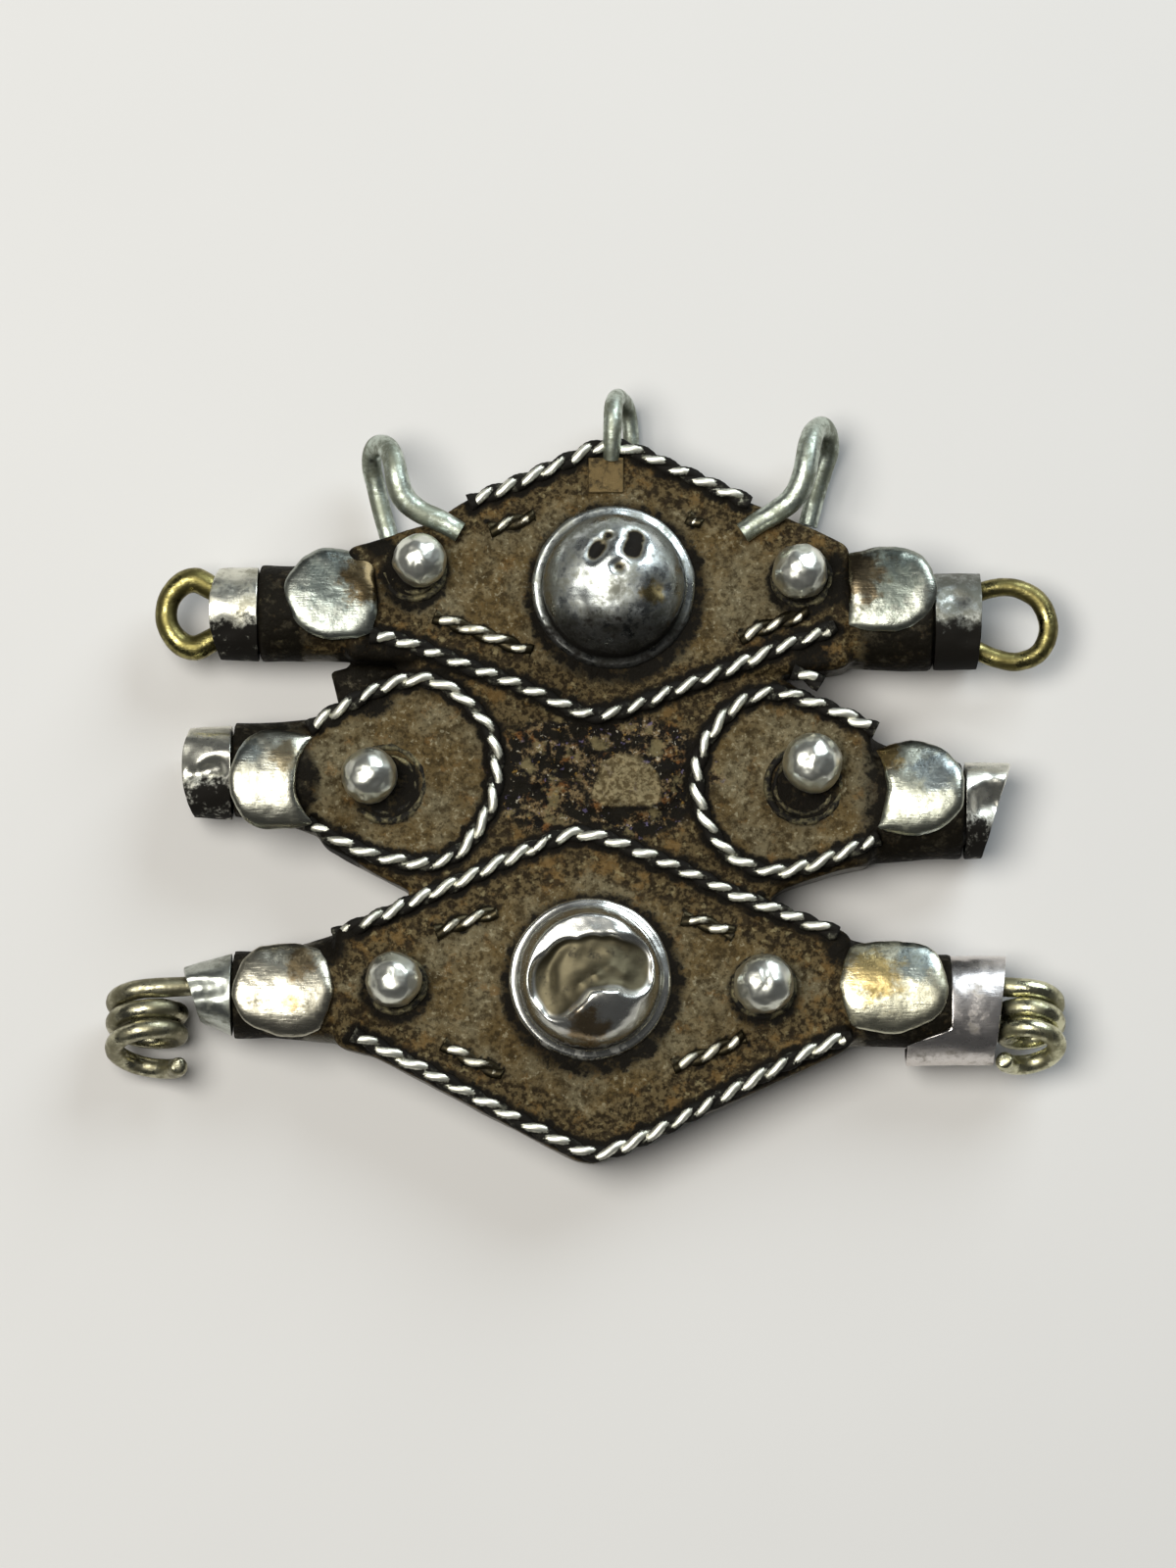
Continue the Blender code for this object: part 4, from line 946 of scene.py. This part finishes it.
discs = [cover_disc(name, spec) for name, spec in DISCS.items()]
Finish = namedtuple("Finish", "polish dirt tint")
DISC_FINISHES = (
    Finish(0.6, 0.24, (0.44, 0.47, 0.44)),
    Finish(0.6, 0.26, (0.42, 0.44, 0.4)),
    Finish(0.65, 0.26, (0.5, 0.5, 0.44)),
    Finish(0.6, 0.24, (0.54, 0.56, 0.49)),
    Finish(0.6, 0.28, (0.52, 0.5, 0.43)),
    Finish(0.58, 0.22, (0.66, 0.65, 0.53)),
)
STAINS = (
    (Stain(-15.7, 12.5, 2.7, (0.27, 0.31, 0.3)), Stain(-13.9, 12.9, 2.2, (0.12, 0.09, 0.05))),
    (Stain(19.4, 12.9, 2.7, (0.21, 0.24, 0.22)), Stain(17.3, 12.9, 2.3, (0.11, 0.09, 0.06))),
    (Stain(-19, 1.2, 1.1, (0.3, 0.26, 0.18)), Stain(-21.4, 1.6, 1, (0.36, 0.4, 0.4))),
    (Stain(19.3, 1.4, 1.2, (0.38, 0.28, 0.13)), Stain(22.4, 0.4, 1.7, (0.36, 0.41, 0.43))),
    (Stain(-18, -11.9, 1.2, (0.3, 0.23, 0.14)), Stain(-18.6, -14.4, 0.7, (0.34, 0.27, 0.16))),
    (Stain(20.9, -11.9, 1.5, (0.4, 0.46, 0.46)), Stain(18.3, -12.7, 2, (0.58, 0.46, 0.22))),
)
for disc, finish, stains in zip(discs, DISC_FINISHES, STAINS):
    silver = silver_material(disc.name + "_silver", *finish, DISC_SATIN, 0.05, DISC_FOOT, None, stains)
    belong([disc], silver)

# Bails: three pieces of silver wire bent over the top edge, cut off and soldered down front and back.
# The middle one has a small square of sheet under its front end.

# Places along each wire, and its radius there
BAILS = {
    "left_bail": (
        (-7.95, 15.65, 5.65, 0.66), (-9.25, 16.4, 5.72, 0.7), (-10.6, 17, 5.85, 0.74),
        (-11.55, 17.85, 6, 0.78), (-11.95, 18.95, 6.1, 0.76), (-12.15, 20, 5.95, 0.72),
        (-12.4, 20.8, 5.5, 0.7), (-12.9, 21.4, 4.5, 0.68), (-13.5, 21.35, 3.3, 0.66),
        (-13.72, 20.4, 2.3, 0.64), (-13.45, 19.1, 1.75, 0.62), (-13.1, 17.6, 1.55, 0.62),
        (-12.6, 15.8, 1.5, 0.62),
    ),
    "right_bail": (
        (10.1, 15.6, 5.65, 0.68), (11.15, 16.3, 5.72, 0.7), (12.4, 17.05, 5.85, 0.74),
        (13.4, 17.9, 6, 0.78), (13.95, 19.05, 6.1, 0.78), (14.22, 20.3, 6, 0.76),
        (14.42, 21.4, 5.6, 0.74), (14.85, 22.4, 4.5, 0.7), (15.4, 22.65, 3.4, 0.68),
        (15.76, 21.6, 2.3, 0.66), (15.35, 20.1, 1.75, 0.64), (14.95, 18.7, 1.55, 0.62),
        (14.4, 16.6, 1.5, 0.62),
    ),
    "middle_bail": (
        (1.7, 20.4, 5.35, 0.5), (1.75, 21.4, 5.75, 0.58), (1.8, 22.6, 6, 0.6),
        (1.85, 23.7, 5.6, 0.6), (2.05, 24.45, 4.5, 0.58), (2.35, 24.55, 3.1, 0.55),
        (2.7, 24.2, 1.9, 0.55), (2.95, 23, 1.4, 0.52), (3, 21.5, 1.3, 0.52),
        (2.95, 19.8, 1.3, 0.52),
    ),
}
FOOT_PLACE = (1.37, 19.35)
FOOT_SIZE = (2.25, 2.25, 0.3)
FOOT_EDGE = 0.07


def bent_wire(name, bends):
    """A wire of varying thickness bent through these places, with its ends cut square."""
    line, _ = line_through(name, [bend[:3] for bend in bends])
    line.data.bevel_depth = MM
    line.data.bevel_resolution = 6
    line.data.use_fill_caps = True
    for point, (*_, radius) in zip(line.data.splines[0].bezier_points, bends):
        point.radius = radius
    take_up(line)
    bpy.ops.object.convert(target="MESH")
    piece = name_piece(bpy.context.object, name)
    bpy.ops.object.shade_smooth_by_angle(angle=math.radians(50))
    return piece


bails = [bent_wire(name, bends) for name, bends in BAILS.items()]
foot = block("bail_foot", (*FOOT_PLACE, height_at(*FOOT_PLACE) + FOOT_SIZE[2] / 2), FOOT_SIZE)
finish_with(foot, "BEVEL", width=FOOT_EDGE * MM, segments=3)
finish_with(foot, "SUBSURF", subdivision_type="SIMPLE", levels=3, render_levels=3)
belong(bails, silver_material("bail_silver", 0.35, 0.22, (0.66, 0.74, 0.69), 0.06))
belong([foot], silver_material("bail_foot_metal", 0.0, 0.56, (0.36, 0.27, 0.15), 0.15, 0.16))

# Collars: strips of silver rolled round the arm ends. They are worn and crushed as the solids are, so each is
# made from its solid, with its rims rounded and its sheet made uneven by wear.


def from_solid(node, name):
    """A smooth copy of a solid."""
    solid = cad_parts[node]
    copy = solid.copy()
    copy.data = solid.data.copy()
    copy.parent = None
    for key in list(copy.keys()):
        del copy[key]
    scene.collection.objects.link(copy)
    name_piece(copy, name)
    take_up(copy)
    edit_all()
    bpy.ops.mesh.remove_doubles(threshold=0.001 * MM)
    bpy.ops.mesh.tris_convert_to_quads(face_threshold=math.radians(60), shape_threshold=math.radians(60))
    bpy.ops.object.mode_set(mode="OBJECT")
    return copy


# Each collar's finish, and the places and sizes of its creases in millimetres
COLLARS = {
    "collar_upper_left": (Finish(0.5, 0.24, (0.9, 0.9, 0.82)), (Dent(-22.9, 9.4, 0.25, 1.2),)),
    "collar_upper_right": (
        Finish(0.25, 0.36, (0.4, 0.42, 0.42)), (Dent(23.6, 11.4, 0.3, 1.2), Dent(24.6, 9, 0.2, 1.2)),
    ),
    "collar_middle_left": (Finish(0.7, 0.18, (0.97, 0.97, 0.9)), (
        Dent(-25.3, 0.1, 0.3, 0.7), Dent(-24.6, 0.2, 0.45, 0.9),
        Dent(-23.8, 0.35, 0.55, 1.1), Dent(-23.2, 0.45, 0.4, 1.2),
    )),
    "collar_middle_right": (Finish(0.6, 0.22, (1, 1, 0.94)), (
        Dent(26.2, -1.7, 0.75, 1.6), Dent(25, -2, 0.45, 1.5), Dent(26.8, 0.5, -0.15, 1),
    )),
    "collar_lower_left": (Finish(0.5, 0.3, (0.6, 0.64, 0.62)), (
        Dent(-25, -13.5, 0.3, 0.9), Dent(-24.2, -13.5, 0.25, 0.9), Dent(-23.4, -13.6, 0.2, 0.9),
    )),
    "collar_lower_right": (Finish(0.6, 0.16, (0.86, 0.82, 0.84)), ()),
}
COLLAR_EDGE = 0.06
COLLAR_WEAR = (1.8, 0.12)
# The upper and middle collars are painted with shade on their lower sides. It thickens between these
# distances from the arm's axis
COLLAR_SHADE = (0.9, -1.6)
# The slipped collar's seam ends in a flap: corners past these limits in X and Y are drawn to its tip
FLAP = (20.5, -17.15)
FLAP_LIMITS = (22.0, -17.6)


def rolled_collar(node, creases):
    """The collar's solid, rounded, creased and worn."""
    piece = from_solid(node, node + "_sheet")
    if node == "collar_lower_right":
        for corner in piece.data.vertices:
            if corner.co.x < FLAP_LIMITS[0] * MM and corner.co.y > FLAP_LIMITS[1] * MM:
                corner.co.xy = Vector(FLAP) * MM
    round_edges(piece, COLLAR_EDGE, 2, 55)
    finish_with(piece, "SUBSURF", levels=3, render_levels=3)
    for dent in creases:
        pushed_in(piece, Vector((dent.across, dent.up, PUNCH_HEIGHT)) * MM, dent.depth, dent.size)
    uneven(piece, node + "_wear", *COLLAR_WEAR)
    bpy.ops.object.shade_smooth()
    return piece


for arm in ARMS:
    node = arm.collar
    finish, creases = COLLARS[node]
    collar = rolled_collar(node, creases)
    # Painted shade darkens the lower sides of the upper and middle collars
    shade = None if node.startswith("collar_lower") else [arm.y + up for up in COLLAR_SHADE]
    belong([collar], silver_material(node + "_silver", *finish, 0.06, 0.03, None, shade))
    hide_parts(node)

# Wire eyes and coils: brass wire bent to an eye in each upper arm, and grey wire wound to three turns in each
# lower arm, its end cut off flat. Each is made from its solid, rounded to the wire that it stands for.

# How much each wire is swollen, because a round wire is fuller than its six-sided solid, and its finish
WIRES = {
    "eye_left": (0.16, Finish(0.3, 0.26, (0.4, 0.36, 0.15))),
    "eye_right": (0.13, Finish(0.3, 0.26, (0.38, 0.34, 0.15))),
    "coil_left": (0.14, Finish(0.3, 0.26, (0.6, 0.58, 0.44))),
    "coil_right": (0.14, Finish(0.4, 0.22, (0.74, 0.73, 0.53))),
}
WIRE_WEAR = (1.0, 0.06)


def round_wire(node, swell):
    """The wire's solid, swollen and rounded."""
    piece = from_solid(node, node + "_wire")
    edit_all()
    bpy.ops.transform.shrink_fatten(value=swell * MM)
    bpy.ops.object.mode_set(mode="OBJECT")
    finish_with(piece, "SUBSURF", levels=3, render_levels=3)
    uneven(piece, node + "_wear", *WIRE_WEAR)
    bpy.ops.object.shade_smooth()
    return piece


for node, (swell, finish) in WIRES.items():
    wire = round_wire(node, swell)
    belong([wire], silver_material(node + "_metal", *finish, -0.04))
    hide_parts(node)

# Grime and painted shadow: black dirt and painted shadow lie on the sheet round everything that is soldered
# to it, the rings round the bosses and balls shifted towards the lower edge as a cast shadow, and dark crust
# fills the middle. How much of each a place has is kept on the sheet body.

# Within the first distance from each kind of piece the sheet is black with soot and painted shadow, and past
# the second it is clean, in millimetres
GRIME_AND_SHADOW_REACH = {
    "border": (0.2, 0.7), "worn": (0, 0.4), "boss": (5.3, 6.5), "ball": (1.9, 2.8), "disc": (2.6, 3.7),
}
# The painted shadow rings round the bosses are shifted by this, and those round the balls by its Y, as a
# shadow cast towards the lower edge
SHADOW_SHIFT = Vector((0.15, -0.35))
Dark = namedtuple("Dark", "x y near far")
# Further dark spots on the sheet, mostly where parts meet, dirt and painted shade: each place, the distance
# within which it is full and the one past which it is gone
DARK_PLACES = (
    Dark(-14.1, 6.3, 1.8, 3.2), Dark(-11.9, 7.6, 0.7, 1.9), Dark(14.6, 7.4, 0.6, 1.8),
    Dark(-15.5, -4.6, 0.8, 2.2), Dark(15.8, 12.6, 1, 2.8), Dark(-13.2, 14.8, 0.3, 1.8),
    Dark(16.5, -11, 0.6, 2), Dark(-16.3, -10.9, 0.6, 2),
)
# How dark the rings of soot and painted shadow are, how dark the arms are made, and how dark and wide the
# cracks are
ROUND_SOOT_AND_SHADOW = 0.9
ARM_DARKENING = 0.85
CRACK_SOOT = 0.8
CRACK_WIDTH = 0.34
# Where each mark fades out: crust in shares of its patch, arms in X, scar and field past their outlines
CRUST_FADE = (0.75, 1.2)
ARM_FADE = (-18.5, -17.0)
SCAR_FADE = (-0.25, 0.45)
FIELD_FADE = (-0.6, 0.8)
FIELDS = (
    BORDERS["left_drop_border"], BORDERS["right_drop_border"],
    (
        (-15, 12.2), (-6, 15.9), (1.5, 18.8), (7.5, 16.3), (18, 12), (10.5, 9), (1.5, 6),
        (-9, 10),
    ),
    (
        (-15.6, -13.3), (-7.5, -9.2), (0.3, -6.2), (8, -9.5), (15.6, -13.3), (8.1, -17.4), (0.3, -21.4),
        (-7, -18.1),
    ),
)
# The outline of the patch that the crust has come off, and the cracks round it
BARE_PATCH = (
    (0.4, -1.3), (0.8, -0.2), (1.1, 0.9), (2.2, 1.5), (3.6, 1.3), (4.7, 0.2), (4.9, -1.6), (3.5, -1.8),
    (2.3, -1.9), (1.3, -1.7),
)
CRACKS = (
    ((-2.6, 2.9), (-1.5, 2.4), (-0.4, 2.3), (0.7, 1.5), (1.9, 1.9), (3.2, 2)),
    ((2.6, -2.1), (3.7, -2), (5.3, -1.8)),
    ((-5.2, 3.4), (-4, 3), (-3.4, 1.9)),
    ((-0.6, -0.2), (0.1, -1), (0.3, -2.2)),
)


def distance_to(x, y, line):
    """The distance from a place to a line with corners."""
    nearest = 99.0
    for (ax, ay), (bx, by) in zip(line, line[1:]):
        along = ((x - ax) * (bx - ax) + (y - ay) * (by - ay)) / ((bx - ax) ** 2 + (by - ay) ** 2)
        along = max(0.0, min(1.0, along))
        nearest = min(nearest, math.hypot(ax + along * (bx - ax) - x, ay + along * (by - ay) - y))
    return nearest


def depth_inside(x, y, outline):
    """How far a place is inside a closed outline, less than nothing if it is outside."""
    inside = False
    for (ax, ay), (bx, by) in zip(outline, outline[1:] + outline[:1]):
        if (ay > y) != (by > y) and x < ax + (bx - ax) * (y - ay) / (by - ay):
            inside = not inside
    nearest = distance_to(x, y, outline + outline[:1])
    return nearest if inside else -nearest


sheet = body.data
for name in SHEET_MARKS:
    sheet.attributes.new(name, "FLOAT", "POINT")
marks = {name: sheet.attributes[name].data for name in SHEET_MARKS}
soot_and_shadow_values = [0.0] * len(sheet.vertices)
for wire in wires:
    near, far = GRIME_AND_SHADOW_REACH["worn" if "worn" in wire.name else "border"]
    line = [corner.co for corner in wire.data.vertices][::7]
    tree = kdtree.KDTree(len(line))
    for number, spot in enumerate(line):
        tree.insert(spot, number)
    tree.balance()
    for number, corner in enumerate(sheet.vertices):
        if corner.co.z > FRONT_ABOVE * MM:
            _, _, distance = tree.find(corner.co)
            soot_and_shadow_values[number] = max(soot_and_shadow_values[number], faded(distance / MM, near, far))
# Rings of soot and painted shadow round the bosses, balls and discs
darks = [
    Dark(spec.x + SHADOW_SHIFT.x, spec.y + SHADOW_SHIFT.y, *GRIME_AND_SHADOW_REACH["boss"]) for spec in BOSSES.values()
]
darks += [Dark(spec.seat_x, spec.seat_y + SHADOW_SHIFT.y, *GRIME_AND_SHADOW_REACH["ball"]) for spec in BALLS.values()]
darks += [Dark(spec.x, spec.y, *GRIME_AND_SHADOW_REACH["disc"]) for spec in DISCS.values()]
darks += DARK_PLACES
for number, corner in enumerate(sheet.vertices):
    x, y, z = corner.co / MM
    arm = faded(-abs(x), *ARM_FADE)
    soot = [soot_and_shadow_values[number], ARM_DARKENING * arm]
    for dark in darks:
        soot.append(ROUND_SOOT_AND_SHADOW * faded(math.hypot(x - dark.x, y - dark.y), dark.near, dark.far))
    marks["crust"][number].value = faded(from_crust(x, y), *CRUST_FADE)
    marks["arm"][number].value = arm
    if z > FRONT_ABOVE:
        for crack in CRACKS:
            soot.append(CRACK_SOOT * faded(distance_to(x, y, crack), 0.0, CRACK_WIDTH))
        marks["scar"][number].value = faded(-depth_inside(x, y, BARE_PATCH), *SCAR_FADE)
        deepest = max(depth_inside(x, y, outline) for outline in FIELDS)
        marks["field"][number].value = faded(-deepest, *FIELD_FADE)
    marks["soot"][number].value = max(soot)

# The pale floor that the pendant lies on, two soft lamps, and the camera above it, which leans a little
# towards the lower edge.

FLOOR_SIZE = 3.0
Lamp = namedtuple("Lamp", "name place size power colour")
LAMPS = (
    Lamp("lamp_left", (-0.15, 0.03, 0.45), 0.32, 2.9, (1.0, 0.98, 0.93)),
    Lamp("lamp_above", (0.26, 0.37, 0.26), 0.34, 2.2, (0.84, 0.93, 1.0)),
)
WORLD_COLOUR = (0.95, 0.97, 1.0, 1)
WORLD_LIGHT = 0.05
CAMERA_TARGET = Vector((0.00022, -0.00044, 0.005))
CAMERA_DISTANCE = 0.42
CAMERA_ELEVATION = math.radians(85)
CAMERA_LENS = 151.2

floor = added("floor", bpy.ops.mesh.primitive_plane_add, size=FLOOR_SIZE, location=(0, 0, -0.02 * MM))
material, tree, place, shader = new_material("pale_floor")
pale = cloud(tree, place, 60.0, 3)
feed(tree, shader.inputs["Base Color"], mixed(tree, pale, (0.5, 0.49, 0.475), (0.54, 0.53, 0.515)))
shader.inputs["Roughness"].default_value = 0.9
floor.data.materials.append(material)

for spec in LAMPS:
    light = bpy.data.lights.new(spec.name, "AREA")
    light.shape = "DISK"
    light.size = spec.size
    light.energy = spec.power
    light.color = spec.colour
    lamp = bpy.data.objects.new(spec.name, light)
    lamp.location = spec.place
    lamp.rotation_euler = (CAMERA_TARGET - lamp.location).to_track_quat("-Z", "Y").to_euler()
    scene.collection.objects.link(lamp)
world = bpy.data.worlds.new("soft_room")
world.use_nodes = True
world.node_tree.nodes["Background"].inputs["Color"].default_value = WORLD_COLOUR
world.node_tree.nodes["Background"].inputs["Strength"].default_value = WORLD_LIGHT
scene.world = world

camera = bpy.data.objects.new("camera", bpy.data.cameras.new("camera"))
camera.data.sensor_width = 36
camera.data.lens = CAMERA_LENS
camera.data.clip_start = 0.01
away = Vector((0, -math.cos(CAMERA_ELEVATION), math.sin(CAMERA_ELEVATION)))
camera.location = CAMERA_TARGET + away * CAMERA_DISTANCE
camera.rotation_euler = (-away).to_track_quat("-Z", "Y").to_euler()
scene.collection.objects.link(camera)
scene.camera = camera
scene.view_settings.view_transform = "Standard"
